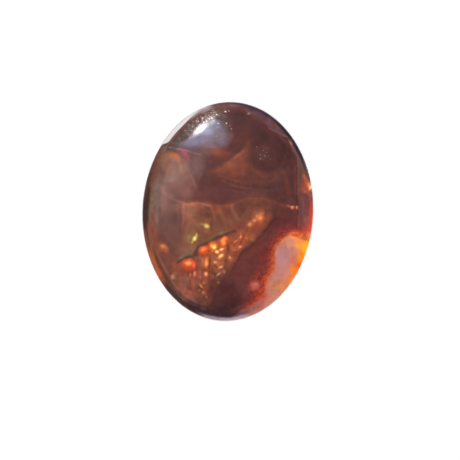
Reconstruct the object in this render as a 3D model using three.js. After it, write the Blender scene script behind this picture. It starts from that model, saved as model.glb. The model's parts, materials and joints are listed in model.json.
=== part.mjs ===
// An oval fire agate cabochon: one polished stone with a domed face and a flat back.
// Millimetres, +Z up. The origin is the middle of the flat back, and the long axis runs along Y.
// Seen from above, +Y is the end of the stone that the photograph shows at the top.

import * as THREE from "three";
import { mergeVertices } from "three/addons/utils/BufferGeometryUtils.js";

// Driving dimensions of the stone
const LENGTH = 13.2; // along Y
const WIDTH = 10.3; // along X
const HEIGHT = 4.0; // from the flat back to the top of the dome

// The back edge is bevelled so that it can't chip, and a low upright wall, the girdle, stands above it
const BEVEL_HEIGHT = 0.35;
const BEVEL_INSET = 0.4; // how far the flat back stops short of the outline, on the width
const GIRDLE_HEIGHT = 0.65;

// The girdle leans in a little as it rises, as it does on a stone that was ground on a flat wheel
const GIRDLE_LEAN = 0.04;

// How fine the facets are
const FACETS_ROUND = 64;
const FACETS_UP = 12;

const AGATE_BROWN = 0x5e3029;

// The stone's section from the middle of the back to the top of the dome, as a share of the half
// width across and in millimetres up. The dome is a round arc that meets the girdle at an edge.
function section() {
  const halfWidth = WIDTH / 2;
  const girdleTop = BEVEL_HEIGHT + GIRDLE_HEIGHT;
  const domeHeight = HEIGHT - girdleTop;
  const domeFoot = halfWidth - GIRDLE_LEAN;
  const arcRadius = (domeFoot ** 2 + domeHeight ** 2) / (2 * domeHeight);
  const arcCentre = HEIGHT - arcRadius;
  const footAngle = Math.asin(domeFoot / arcRadius); // from upright, so 0 is the dome's top

  const points = [
    new THREE.Vector2(0, 0),
    new THREE.Vector2(1 - BEVEL_INSET / halfWidth, 0),
    new THREE.Vector2(1, BEVEL_HEIGHT),
  ];
  for (let i = 0; i < FACETS_UP; i++) {
    const angle = footAngle * (1 - i / FACETS_UP);
    const across = (arcRadius * Math.sin(angle)) / halfWidth;
    const up = arcCentre + arcRadius * Math.cos(angle);
    points.push(new THREE.Vector2(across, up));
  }
  points.push(new THREE.Vector2(0, HEIGHT));
  return points;
}

// The section turned once round the upright axis, then drawn out to the oval
function cabochonGeometry() {
  const geometry = new THREE.LatheGeometry(section(), FACETS_ROUND);
  geometry.rotateX(Math.PI / 2); // the lathe turns about Y, and the stone stands along Z
  geometry.scale(WIDTH / 2, LENGTH / 2, 1);
  geometry.deleteAttribute("uv");
  geometry.deleteAttribute("normal");
  const closed = mergeVertices(geometry, 1e-5);
  closed.computeVertexNormals();
  return closed;
}

function cabochon() {
  const material = new THREE.MeshStandardMaterial({
    color: AGATE_BROWN,
    roughness: 0.12,
    metalness: 0,
  });
  const mesh = new THREE.Mesh(cabochonGeometry(), material);
  mesh.name = "cabochon";
  return mesh;
}

const stone = new THREE.Group();
stone.add(cabochon());

export default stone;
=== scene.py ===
# %% [markdown]
# # A fire agate cabochon
#
# A fire agate is a brown chalcedony with a thin bubbly layer of iron minerals grown into it. Under
# its clear cap the layer splits the light like oil on water, so its bubbles glow orange and gold.
# The cutter follows the layer, leaves a thin clear cap over it and polishes the whole as an oval dome.
#
# The scene is built in that order too: the polished body, the fire layer inside it, a few bright
# specks under the polish, and then the table, the light and the camera.

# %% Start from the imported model
import json
import math
import bpy
import numpy as np
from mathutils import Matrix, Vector

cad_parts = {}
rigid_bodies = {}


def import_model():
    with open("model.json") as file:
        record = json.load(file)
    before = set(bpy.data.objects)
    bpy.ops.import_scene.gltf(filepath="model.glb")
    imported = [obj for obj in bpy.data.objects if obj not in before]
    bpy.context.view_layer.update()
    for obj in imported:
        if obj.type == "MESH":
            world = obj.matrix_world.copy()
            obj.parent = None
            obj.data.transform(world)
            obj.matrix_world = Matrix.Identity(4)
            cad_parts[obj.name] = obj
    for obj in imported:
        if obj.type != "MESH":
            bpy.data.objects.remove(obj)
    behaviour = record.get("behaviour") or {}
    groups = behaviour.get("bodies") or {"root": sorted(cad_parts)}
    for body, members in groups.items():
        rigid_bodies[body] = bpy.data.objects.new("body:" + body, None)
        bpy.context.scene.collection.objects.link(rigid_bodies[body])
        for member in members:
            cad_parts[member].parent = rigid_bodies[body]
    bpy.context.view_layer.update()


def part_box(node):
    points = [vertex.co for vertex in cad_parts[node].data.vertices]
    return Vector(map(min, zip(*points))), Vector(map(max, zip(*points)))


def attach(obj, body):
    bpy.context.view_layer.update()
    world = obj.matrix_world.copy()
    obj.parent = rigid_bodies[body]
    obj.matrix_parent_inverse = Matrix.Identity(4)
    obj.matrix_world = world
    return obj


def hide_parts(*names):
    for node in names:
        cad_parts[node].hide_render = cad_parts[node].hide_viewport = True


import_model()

# %% [markdown]
# ## Sizes
#
# Blender works in metres and a stone is measured in millimetres, so every shape below is worked out
# in millimetres and multiplied by MM as it goes into its mesh. The outside sizes come from the solid
# and the section is the same as the solid's: a flat back, a bevel, a low girdle and a round dome. The
# radius of the dome's arc is the sum of the squares of its half width and height, over twice the height.

# %% Sizes of the stone
MM = 0.001
lowest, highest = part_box("cabochon")
WIDTH, LENGTH, HEIGHT = ((highest - lowest) / MM)[:]
HALF_WIDTH = WIDTH / 2
STRETCH = LENGTH / WIDTH

BEVEL_HEIGHT = 0.35
BEVEL_INSET = 0.4
GIRDLE_TOP = BEVEL_HEIGHT + 0.65
GIRDLE_LEAN = 0.04
DOME_FOOT = HALF_WIDTH - GIRDLE_LEAN
DOME_HEIGHT = HEIGHT - GIRDLE_TOP
ARC_RADIUS = (DOME_FOOT**2 + DOME_HEIGHT**2) / (2 * DOME_HEIGHT)
FOOT_ANGLE = math.asin(DOME_FOOT / ARC_RADIUS)
print(f"stone {WIDTH:.2f} x {LENGTH:.2f} x {HEIGHT:.2f} mm, dome arc {ARC_RADIUS:.2f} mm")

# %% [markdown]
# ## Putting a surface into a mesh
#
# A surface that numpy has worked out is a table of points and a table of faces. This helper is the
# only place where they meet Blender. Smooth faces let the polished dome bend light evenly.

# %% Mesh helpers
def put_mesh(name, points, faces):
    """A new object whose mesh has these points, given in millimetres, and these faces."""
    mesh = bpy.data.meshes.new(name)
    mesh.from_pydata((points * MM).tolist(), [], faces)
    mesh.polygons.foreach_set("use_smooth", np.ones(len(mesh.polygons), bool))
    mesh.update()
    piece = bpy.data.objects.new(name, mesh)
    bpy.context.scene.collection.objects.link(piece)
    return piece


def band_faces(loops):
    """Four-sided faces between each closed loop of point numbers and the loop above it."""
    lower, upper = loops[:-1], loops[1:]
    quads = np.stack([lower, np.roll(lower, -1, 1), np.roll(upper, -1, 1), upper], -1)
    return quads.reshape(-1, 4).tolist()


def fan_faces(middle, loop):
    """Three-sided faces from one middle point to a closed loop of point numbers."""
    middle = np.full(len(loop), middle)
    return np.stack([middle, loop, np.roll(loop, -1)], -1).tolist()

# %% [markdown]
# ## The polished body
#
# The outside is one skin: a profile from the middle of the back to the top of the dome, carried round
# the oval. A real stone has no knife edges, so each corner of the profile is rounded: the two legs are
# cut a little short and joined by a curve that starts and ends along them.

# %% Profile of the body
EDGE_ROUNDING = 0.1
ROUNDING_STEPS = 6
DOME_RINGS = 88
BACK_RINGS = 8


def dome_point(angle):
    """Half width and height of the dome's arc at an angle from upright."""
    return np.stack([ARC_RADIUS * np.sin(angle), HEIGHT - ARC_RADIUS * (1 - np.cos(angle))], -1)


def rounded_corner(before, corner, after):
    """A curve that leaves the first leg a little before the corner and joins the second after it."""
    before, corner, after = (np.asarray(point, float) for point in (before, corner, after))
    start = corner + (before - corner) / np.linalg.norm(before - corner) * EDGE_ROUNDING
    end = corner + (after - corner) / np.linalg.norm(after - corner) * EDGE_ROUNDING
    t = np.linspace(0, 1, ROUNDING_STEPS)[:, None]
    return (1 - t) ** 2 * start + 2 * t * (1 - t) * corner + t**2 * end


def body_profile():
    """Half widths and heights from the middle of the back to the top of the dome."""
    back_edge = (HALF_WIDTH - BEVEL_INSET, 0.0)
    bevel_top = (HALF_WIDTH, BEVEL_HEIGHT)
    girdle_top = (DOME_FOOT, GIRDLE_TOP)
    across_back = np.linspace(0, back_edge[0] - 2 * EDGE_ROUNDING, BACK_RINGS)
    dome = dome_point(np.linspace(FOOT_ANGLE, 0, DOME_RINGS))
    past_foot = dome[np.linalg.norm(dome - dome[0], axis=1) > EDGE_ROUNDING]
    return np.vstack([
        np.stack([across_back, np.zeros(BACK_RINGS)], -1),
        rounded_corner((0, 0), back_edge, bevel_top),
        rounded_corner(back_edge, bevel_top, girdle_top),
        rounded_corner(bevel_top, girdle_top, past_foot[0]),
        past_foot[1:],
    ])

# %% Mesh of the body
BODY_AROUND = 288


def round_the_oval(half_width, height, turn):
    """Points at half widths and heights, carried to angles round the oval."""
    across, along, up = np.broadcast_arrays(
        half_width * np.cos(turn), half_width * np.sin(turn) * STRETCH, height)
    return np.stack([across, along, up], -1)


def body_piece():
    """The whole skin: a point in the middle of the back, a loop for each profile point, and the top."""
    profile = body_profile()[1:-1]
    turn = np.linspace(0, 2 * np.pi, BODY_AROUND, endpoint=False)
    skin = round_the_oval(profile[:, :1], profile[:, 1:], turn).reshape(-1, 3)
    points = np.vstack([[[0, 0, 0]], skin, [[0, 0, HEIGHT]]])
    loops = 1 + np.arange(len(skin)).reshape(len(profile), BODY_AROUND)
    faces = band_faces(loops) + fan_faces(0, loops[0][::-1]) + fan_faces(len(points) - 1, loops[-1])
    return put_mesh("polished_body", points, faces)


body = body_piece()
print("polished body:", len(body.data.vertices), "points")

# %% [markdown]
# ## Looking into the dome
#
# A dome is a lens. A ray that comes straight down bends towards the middle as it enters, so a thing
# inside seems further out than it is. The fire layer is drawn as the eye should see it from above, and
# then each point is moved along its bent ray to the depth where it really lies. The bend is the law of
# refraction: the ray's part along the surface shrinks by the index of chalcedony.

# %% Refraction through the dome
CHALCEDONY_INDEX = 1.54


def under_the_dome(x, y, depth):
    """The point that shows at (x, y) from straight above, this deep under where its ray goes in.

    The ray inside is the one outside divided by the index, less as much of the dome's normal as makes
    its length 1 again.
    """
    flat = np.stack([x, y / STRETCH], -1)
    out = np.clip(np.linalg.norm(flat, axis=1), 1e-9, DOME_FOOT)[:, None]
    drop = np.sqrt(ARC_RADIUS**2 - out**2)
    uphill = flat / drop * (1, 1 / STRETCH)
    normal = np.hstack([uphill, np.ones_like(out)])
    normal /= np.linalg.norm(normal, axis=1, keepdims=True)
    bend = 1 / CHALCEDONY_INDEX
    into = normal[:, 2:]
    ray = (bend * into - np.sqrt(1 - bend**2 * (1 - into**2))) * normal - (0, 0, bend)
    entry = np.hstack([x[:, None], y[:, None], HEIGHT - ARC_RADIUS + drop])
    return entry - ray / ray[:, 2:] * depth[:, None]

# %% [markdown]
# ## The grid of the fire layer
#
# The layer's top needs evenly small faces, because its colours are kept at its points. A square grid is
# bent onto a disc so that each ring of the square becomes a ring of the disc, which keeps all faces
# about the same size and leaves no crowded middle. The disc then becomes the oval, drawn in a little at
# the upper left, where the real stone has a clear rim, and a hair at the lower end.

# %% Grid of the layer, as seen from above
LEAN = math.radians(3.15)
GRID = 271
CLEAR_RIM = 0.27
CLEAR_RIM_FROM = math.radians(108)
CLEAR_RIM_TO = math.radians(146)
CLEAR_RIM_RISE = math.radians(22)
CLEAR_RIM_FALL = math.radians(6)
LOWER_RIM = 0.1
LOWER_RIM_AT = math.radians(-97)
LOWER_RIM_REACH = math.radians(26)


def disc_grid(count):
    """A square grid bent onto the unit disc: rings of the square become rings of the disc."""
    u, v = np.meshgrid(np.linspace(-1, 1, count), np.linspace(-1, 1, count))
    wide = np.abs(u) >= np.abs(v)
    out = np.where(wide, u, v)
    turn = np.where(wide, v, u) / np.where(out == 0, 1, out) * np.pi / 4
    across = out * np.where(wide, np.cos(turn), np.sin(turn))
    along = out * np.where(wide, np.sin(turn), np.cos(turn))
    return across.ravel(), along.ravel()


def smooth(t):
    """An even slide from 0 to 1 as t goes from 0 to 1."""
    t = np.clip(t, 0, 1)
    return t * t * (3 - 2 * t)


def hump(angle, middle, reach):
    """1 at the middle angle, falling evenly to 0 at `reach` on either side."""
    away = np.abs((angle - middle + np.pi) % (2 * np.pi) - np.pi)
    return np.cos(np.clip(away / reach, 0, 1) * np.pi / 2) ** 2


disc_x, disc_y = disc_grid(GRID)
disc_turn = np.arctan2(disc_y, disc_x)
clear_rim = (smooth((disc_turn - CLEAR_RIM_FROM) / CLEAR_RIM_RISE)
             * smooth((CLEAR_RIM_TO - disc_turn) / CLEAR_RIM_FALL))
drawn_in = CLEAR_RIM * clear_rim + LOWER_RIM * hump(disc_turn, LOWER_RIM_AT, LOWER_RIM_REACH)
share = 1 - drawn_in / (DOME_FOOT * np.hypot(np.cos(disc_turn), np.sin(disc_turn) * STRETCH))
seen_x = disc_x * share * DOME_FOOT
seen_y = disc_y * share * DOME_FOOT * STRETCH
print("fire layer grid:", len(seen_x), "points,", f"{WIDTH / GRID:.3f} mm apart")

# %% [markdown]
# ## Sides and underside of the layer
#
# Below its top the layer is one solid piece of brown agate that fills the stone almost to the skin. Its
# wall follows the girdle and the bevel a little way in, and leans further in under the clear rim so
# that the eye looks past it. The wall is a stack of loops that meets the outer edge of the grid.

# %% Loops of the sides
WALL_GAP = 0.08
WALL = HALF_WIDTH - WALL_GAP
WALL_TOP = 0.6
CLEAR_WALL_TOP = 4.6
CLEAR_WALL_HEIGHT = 1.42
CLEAR_WALL_LEAN = 0.5
UNDERSIDE_HEIGHT = 0.06
UNDERSIDE_LOOPS = 10
FIRST_LOOP = 0.4
LAST_STEP = 0.3
LIP = 0.03
HAIR = 0.02
FLAT_BACK = HALF_WIDTH - BEVEL_INSET

grid_numbers = np.arange(GRID * GRID).reshape(GRID, GRID)
grid_edge = np.concatenate([
    grid_numbers[0, :-1], grid_numbers[:-1, -1], grid_numbers[-1, :0:-1], grid_numbers[:0:-1, 0]])

# Half widths and heights, from the middle of the underside to where the top begins.
side_profile = np.array(
    [(out, UNDERSIDE_HEIGHT) for out in np.linspace(FIRST_LOOP, FLAT_BACK - LAST_STEP, UNDERSIDE_LOOPS)]
    + [(FLAT_BACK - HAIR, UNDERSIDE_HEIGHT + HAIR / 2),
       (HALF_WIDTH - BEVEL_INSET / 2 - WALL_GAP, BEVEL_HEIGHT / 2),
       (WALL, BEVEL_HEIGHT + LIP),
       (WALL - HAIR, WALL_TOP)])
side_out, side_up = side_profile[:, :1], side_profile[:, 1:]
side_turn = disc_turn[grid_edge]
lean_in = np.sqrt(clear_rim[grid_edge])
clear_wall = CLEAR_WALL_TOP - CLEAR_WALL_LEAN * (CLEAR_WALL_HEIGHT - side_up)
narrow = side_out * clear_wall / WALL
side_out = side_out + (narrow - side_out) * lean_in
side_points = round_the_oval(side_out, side_up, side_turn).reshape(-1, 3)
print("sides and underside:", len(side_points), "points")

# %% [markdown]
# ## Drawing tools
#
# The pattern is drawn the way a painter would: a brown ground, broad soft washes, then bands, lines and
# single bubbles on top. All places are in millimetres from the stone's middle, across and up as the
# stone is seen in the photograph, where its long axis leans 3 degrees to the right. Each tool gives a
# strength from 0 to 1 for every point of the layer at once.

# %% Where each point of the layer is drawn
drawn_x = np.concatenate([[0], side_points[:, 0], seen_x])
drawn_y = np.concatenate([[0], side_points[:, 1], seen_y])
across = drawn_x * math.cos(LEAN) + drawn_y * math.sin(LEAN)
along = drawn_y * math.cos(LEAN) - drawn_x * math.sin(LEAN)
print("points to draw on:", len(across))

# %% Mottling
LATTICE = 64
PAST_THE_EDGE = 5 * LATTICE
TURNS_AND_WEIGHTS = [(0.4, 0.6), (1.3, 0.4)]
WOBBLE = 0.08
WOBBLE_SIZE = 0.35
PATCH_SIZE = 0.3
LEAST_PATCHY = 0.35
PATCHY_RANGE = 0.9


def cloud(size, seed):
    """Soft mottling from 0 to 1 with patches of this size: random heights on a lattice, blended.

    A finer cloud is added to the coarse one, and each is turned, so that the lattice can't be seen.
    """
    heights = np.random.default_rng(seed).random((LATTICE, LATTICE))
    total = np.zeros(len(across))
    for octave, (turn, weight) in enumerate(TURNS_AND_WEIGHTS):
        u = (across * math.cos(turn) + along * math.sin(turn)) / size * 2**octave + PAST_THE_EDGE
        v = (along * math.cos(turn) - across * math.sin(turn)) / size * 2**octave + PAST_THE_EDGE
        column, row = np.floor(u).astype(int), np.floor(v).astype(int)
        right, up = smooth(u - column), smooth(v - row)
        column, row = column % LATTICE, row % LATTICE
        beside = (column + 1) % LATTICE
        lower, upper = (
            heights[level, column] * (1 - right) + heights[level, beside] * right
            for level in (row, (row + 1) % LATTICE))
        total += weight * (lower * (1 - up) + upper * up)
    return total


x = across + WOBBLE * (cloud(WOBBLE_SIZE, 1) - 0.5)
y = along + WOBBLE * (cloud(WOBBLE_SIZE, 2) - 0.5)
patchy = np.clip(LEAST_PATCHY + PATCHY_RANGE * cloud(PATCH_SIZE, 6), 0, 1)
print(f"patchiness of the lines, from {patchy.min():.2f} to {patchy.max():.2f}")

# %% Spots and glows
GLOW_FALL = 1.5


def from_middle(at, radii, turn):
    """Distance from an oval's middle, where 1 is the oval itself. The turn is in degrees."""
    turn = math.radians(turn)
    dx, dy = x - at[0], y - at[1]
    first = (dx * math.cos(turn) + dy * math.sin(turn)) / radii[0]
    second = (dy * math.cos(turn) - dx * math.sin(turn)) / radii[1]
    return np.hypot(first, second)


def spot(at, radii, turn, soft):
    """1 inside an oval, sliding to 0 over a share of its radius."""
    return smooth((1 - from_middle(at, radii, turn)) / soft + 0.5)


def glow(at, radii, turn=0.0):
    """1 in the middle of an oval, fading all the way out like a blurred light."""
    return np.exp(-GLOW_FALL * from_middle(at, radii, turn) ** 2)

# %% Curves and lines
LINE_FALL = 1.7
CURVE_STEPS = 8


def curve(points, closed=False):
    """A smooth path through given points: a spline that passes each with an even turn.

    Each leg is a cubic. Its slope at a point is half the way from the point before to the one after.
    """
    points = np.array(points, float)
    if closed:
        points = np.vstack([points[-1:], points, points[:2]])
    else:
        points = np.vstack([2 * points[:1] - points[1:2], points, 2 * points[-1:] - points[-2:-1]])
    a, b, c, d = points[:-3], points[1:-2], points[2:-1], points[3:]
    t = np.linspace(0, 1, CURVE_STEPS, endpoint=False)[:, None, None]
    path = 0.5 * (2 * b + (c - a) * t + (2 * a - 5 * b + 4 * c - d) * t**2
                  + (3 * b - a - 3 * c + d) * t**3)
    return np.vstack([path.transpose(1, 0, 2).reshape(-1, 2), c[-1:]])


def from_path(path):
    """Distance of every point from a path, and how far along it, from 0 to 1, the nearest place is."""
    nearest = np.full(len(x), np.inf)
    how_far = np.zeros(len(x))
    count = len(path) - 1
    for number, (start, end) in enumerate(zip(path[:-1], path[1:])):
        leg = end - start
        dx, dy = x - start[0], y - start[1]
        t = np.clip((dx * leg[0] + dy * leg[1]) / (leg @ leg), 0, 1)
        away = np.hypot(dx - t * leg[0], dy - t * leg[1])
        closer = away < nearest
        nearest = np.where(closer, away, nearest)
        how_far = np.where(closer, (number + t) / count, how_far)
    return nearest, how_far


def line(points, width, ends):
    """A soft, patchy line along a curve, whose strength slides from one end's to the other's."""
    nearest, how_far = from_path(curve(points))
    strength = ends[0] + (ends[1] - ends[0]) * how_far
    return np.exp(-LINE_FALL * (nearest / width) ** 2) * patchy * strength

# %% Regions
def inside_of(path):
    """Whether each point lies inside a closed path: it does if a ray from it crosses an odd number."""
    odd = np.zeros(len(x), bool)
    for start, end in zip(path[:-1], path[1:]):
        if start[1] == end[1]:
            continue
        crosses = (start[1] > y) != (end[1] > y)
        meets = start[0] + (y - start[1]) / (end[1] - start[1]) * (end[0] - start[0])
        odd ^= crosses & (x < meets)
    return odd


def depth_in(points):
    """How deep each point lies inside a closed curve: above 0 inside and below 0 outside."""
    path = curve(points, closed=True)
    nearest = from_path(path)[0]
    return np.where(inside_of(path), nearest, -nearest)


def region(points, soft):
    """1 inside a closed curve, sliding to 0 across its edge over this width."""
    return smooth(depth_in(points) / soft + 0.5)

# %% Paint and relief
def screen_colour(code):
    """A colour as it is seen on a screen, from 0 to 1, from its hex code."""
    return np.array([int(code[i:i + 2], 16) for i in (1, 3, 5)]) / 255


def linear(colour):
    """The light that a screen colour stands for: a power of 2.4, but a plain share where it is dark."""
    colour = np.asarray(colour, float)
    return np.where(colour <= 0.04045, colour / 12.92, ((colour + 0.055) / 1.055) ** 2.4)


# What is drawn: colours on the screen, relief in millimetres, gleam and rusty grains from 0 to 1.
AGATE_BROWN = "#5c3733"
look = np.tile(screen_colour(AGATE_BROWN), (len(x), 1))
relief = np.zeros(len(x))
fire = np.zeros(len(x))
rust = np.zeros(len(x))


def lay(code, strength):
    """Lays a colour over the pattern, as strongly as the drawing says at each point."""
    look[:] += (screen_colour(code) - look) * strength[:, None]


def shade(strength):
    """Darkens the pattern where the drawing is below 0 and lightens it where it is above."""
    look[:] *= 1 + strength[:, None]


def tell(what):
    """Prints the mean colour of the pattern so far, as a hex code."""
    print(what, "drawn, mean colour", "#" + "".join(f"{round(255 * v):02x}" for v in look.mean(axis=0)))

# %% [markdown]
# ## Ground and washes
#
# The first coat is a brown ground with cloudy mottling, a little olive here and a little mauve there.
# Over it go broad blurred washes: darker at the upper right and the lower end, redder at the right and
# the lower end, and paler at the left, where part of the paleness is a painted veil, the reflection of
# the soft light at the left. Each row has a place, two radii, a turn, a colour and a strength.

# %% Rows of ovals and lines
def glows(rows):
    """Lays soft ovals, one for each row."""
    for place, radii, turn, colour, strength in rows:
        lay(colour, strength * glow(place, radii, turn))


def lines(rows):
    """Lays soft lines, one for each row: points, width, colour, and strength at both ends."""
    for points, width, colour, ends in rows:
        lay(colour, line(points, width, ends))

# %% Ground and washes
lay("#66453c", 0.5 * cloud(0.9, 3))
lay("#5c3438", 0.4 * cloud(0.8, 4))
shade(0.2 * (cloud(0.5, 5) - 0.5))

glows([
    ((-0.35, 6.21), (1.08, 0.36), 2, "#7a4e50", 0.9),
    ((0.85, 5.49), (1.02, 0.54), -8, "#512f2c", 0.95),
    ((2.17, 4.53), (1.08, 0.84), -30, "#4c2c2b", 0.95),
    ((3.31, 3.33), (0.72, 1.14), 0, "#4b2c2b", 0.95),
    ((3.25, -0.57), (0.78, 0.3), 20, "#44282a", 0.8),
    ((0.61, 4.29), (0.72, 0.48), 0, "#613a33", 0.9),
    ((-0.89, 2.61), (0.54, 0.54), 20, "#623c37", 0.8),
    ((-0.35, 1.17), (1.32, 0.54), 0, "#633b39", 0.9),
    ((1.09, 1.77), (1.2, 0.54), -5, "#683d36", 0.8),
    ((2.77, 1.41), (0.72, 0.6), 0, "#583837", 0.9),
    ((3.85, 1.53), (0.36, 1.32), 2, "#5e3533", 0.8),
    ((-1.79, 2.85), (0.72, 0.96), -8, "#7b5a57", 0.9),
    ((-3.35, 2.13), (0.84, 1.2), 12, "#8f695f", 0.9),
    ((-3.89, 0.57), (0.54, 1.32), 4, "#956c62", 0.9),
    ((-3.47, -0.99), (0.72, 1.02), 0, "#744f46", 0.9),
    ((-2.51, 1.17), (0.78, 0.54), 0, "#82584f", 0.9),
    ((-4.37, -0.87), (0.36, 1.08), 2, "#875242", 0.9),
    ((-4.13, -2.31), (0.48, 0.96), 12, "#8a4e3c", 0.9),
    ((-3.47, -3.15), (0.54, 0.84), 22, "#844c3e", 0.9),
    ((-2.69, -4.59), (0.84, 0.72), 32, "#834c3f", 0.9),
    ((3.61, -0.15), (0.72, 0.48), 0, "#5c3733", 0.9),
    ((2.95, -0.69), (0.84, 0.42), 28, "#543031", 0.9),
    ((1.57, -2.43), (0.6, 1.32), -38, "#683834", 0.9),
    ((0.73, -3.51), (0.72, 0.84), -40, "#643532", 0.9),
    ((-0.11, -4.71), (1.08, 0.9), -30, "#4a2a29", 0.98),
    ((0.37, -5.49), (1.08, 0.54), 10, "#422526", 0.95),
    ((-0.95, -5.43), (0.54, 0.54), -20, "#4d2c28", 0.9),
    ((-0.35, -5.85), (0.66, 0.3), 4, "#38232a", 0.9),
])
tell("ground and washes")

# %% [markdown]
# ## Swirls of the upper half
#
# Here the layers are cut at a slant and show as swirls: a dark eye with rings round it, an orange hook
# beside it, and faint arcs under both. The rings are lines along curves that fade at their ends.

# %% Dark eye, hook and arcs
glows([
    ((2.05, 3.21), (1.2, 1.02), 0, "#533130", 0.8),
    ((2.05, 3.39), (0.42, 0.36), 0, "#643f39", 0.8),
    ((-0.53, 3.51), (0.72, 0.36), -8, "#9a4d3a", 0.95),
    ((-0.89, 3.87), (0.48, 0.3), 0, "#8c625e", 0.8),
    ((1.09, 3.81), (0.36, 0.36), 20, "#73402f", 0.8),
    ((0.25, 2.01), (0.96, 0.36), 0, "#703f35", 0.8),
])
hook = region([
    (-0.89, 2.37), (-0.41, 2.67), (-0.05, 2.91), (0.31, 3.21), (0.67, 3.45), (0.91, 3.51), (1.03, 3.09),
    (1.15, 2.61), (0.91, 2.19), (0.13, 2.13)], 0.42)
lay("#84473a", 0.9 * hook)
glows([
    ((0.07, 2.76), (0.42, 0.27), 25, "#9f5341", 0.9),
    ((0.67, 3.15), (0.3, 0.3), 40, "#8f4c3b", 0.8),
    ((-0.65, 2.49), (0.42, 0.18), 25, "#7e4a36", 0.6),
    ((-0.11, 3.15), (0.54, 0.18), 30, "#713c33", 0.5),
])
lines([
    ([(-0.71, 2.43), (-0.11, 2.76), (0.25, 3.06), (0.61, 3.33), (0.91, 3.57)], 0.11, "#ad6e58",
     (0.1, 0.8)),
    ([(0.73, 3.39), (1.03, 3.69), (1.21, 3.93), (1.21, 4.29)], 0.14, "#8a4e3b", (0.6, 0.1)),
    ([(1.09, 3.57), (1.21, 3.03), (1.45, 2.49), (1.93, 2.16), (2.53, 2.07), (2.95, 2.19)], 0.28,
     "#804a3a", (0.6, 0.6)),
    ([(1.45, 3.21), (1.69, 2.73), (2.17, 2.49), (2.77, 2.61)], 0.18, "#502f2d", (0.2, 0.3)),
    ([(1.57, 3.81), (2.05, 4.14), (2.71, 4.05), (3.13, 3.63), (3.19, 3.09)], 0.16, "#4e2f2d",
     (0.3, 0.4)),
    ([(1.63, 3.57), (1.93, 3.81), (2.41, 3.81), (2.77, 3.51), (2.77, 3.03)], 0.1, "#653e38", (0.3, 0.3)),
    ([(0.97, 2.13), (1.69, 1.83), (2.41, 1.77), (3.13, 1.95)], 0.13, "#74443a", (0.5, 0.4)),
    ([(-0.35, 1.83), (0.25, 1.56), (1.03, 1.38), (2.05, 1.35)], 0.08, "#7c4c44", (0.8, 0.4)),
    ([(-0.47, 2.13), (0.37, 1.83), (1.09, 1.65)], 0.08, "#824b3e", (0.7, 0.3)),
    ([(-0.23, 1.29), (0.73, 1.14), (1.69, 1.11), (2.65, 1.23)], 0.1, "#73443e", (0.4, 0.6)),
    ([(0.91, 1.62), (1.69, 1.41), (2.65, 1.44)], 0.09, "#4f3231", (0.3, 0.7)),
    ([(0.13, 0.93), (1.21, 0.96), (2.05, 0.96)], 0.12, "#77463e", (0.4, 0.6)),
    ([(3.31, 2.37), (3.43, 1.77), (3.58, 1.17), (3.79, 0.69)], 0.18, "#7c4436", (0.7, 0.3)),
    ([(3.67, 3.09), (3.79, 2.13), (3.88, 1.17)], 0.13, "#502f30", (0.5, 0.6)),
    ([(4.0, 2.61), (4.03, 1.89), (4.0, 1.05)], 0.11, "#79403c", (0.7, 0.6)),
    ([(2.89, 2.37), (3.31, 2.85), (3.49, 3.69)], 0.12, "#653e38", (0.5, 0.4)),
    ([(-1.13, 3.21), (-1.28, 2.61), (-1.49, 1.89), (-1.61, 1.29)], 0.16, "#5b3734", (0.5, 0.6)),
    ([(-0.95, 3.21), (-1.07, 2.91), (-0.95, 2.67)], 0.16, "#58353a", (0.8, 0.5)),
])
tell("eye and hook")

# %% [markdown]
# ## Fringe at the upper right and band at the right
#
# The outermost layer is greyer, and it ends in a ragged line with a pinkish seam. At the right it turns
# into an upright band, with a painted glint on it: a bright orange streak that reaches the edge.

# %% Fringe at the upper right
FRINGE_LINE = [
    (0.49, 6.33), (1.09, 5.97), (1.39, 5.82), (1.69, 5.67), (2.11, 5.43), (2.35, 5.19),
    (2.53, 4.89), (3.01, 4.65), (3.61, 4.41), (3.79, 3.99), (4.09, 3.45), (4.21, 3.21)]
fringe = region(
    [(-0.35, 6.81), *FRINGE_LINE, (5.29, 2.97), (5.41, 5.49), (2.53, 7.29)], 0.15)
lay("#65454a", 0.9 * fringe)
lines([
    ([(0.61, 6.15), (1.09, 5.88), (1.57, 5.55), (2.17, 5.25)], 0.16, "#73403a", (0.5, 0.9)),
    ([(2.11, 5.25), (2.41, 4.77), (3.01, 4.47), (3.55, 4.23)], 0.13, "#6b3432", (0.8, 0.8)),
    ([(2.29, 5.31), (2.53, 4.95), (3.07, 4.68), (3.61, 4.47)], 0.08, "#96625f", (0.5, 1.0)),
    ([(1.09, 6.09), (1.57, 5.85), (1.93, 5.55)], 0.08, "#8a6160", (0.6, 0.7)),
    ([(2.41, 5.55), (2.59, 5.19), (2.89, 4.95)], 0.08, "#835050", (0.8, 0.6)),
    ([(3.7, 4.29), (3.85, 3.81), (4.15, 3.33), (4.24, 2.73)], 0.1, "#86605c", (0.7, 0.4)),
    ([(0.97, 6.27), (1.57, 6.09), (2.05, 5.85)], 0.16, "#594049", (0.8, 0.8)),
])
glows([
    ((1.27, 5.86), (0.13, 0.08), 10, "#a88c8a", 1.0),
    ((2.89, 5.13), (0.3, 0.18), -35, "#774848", 0.8),
    ((0.37, 6.36), (0.42, 0.18), 2, "#8a5c5a", 0.9),
    ((3.78, 4.08), (0.09, 0.19), 22, "#c07a70", 1.0),
])
tell("fringe")

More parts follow.
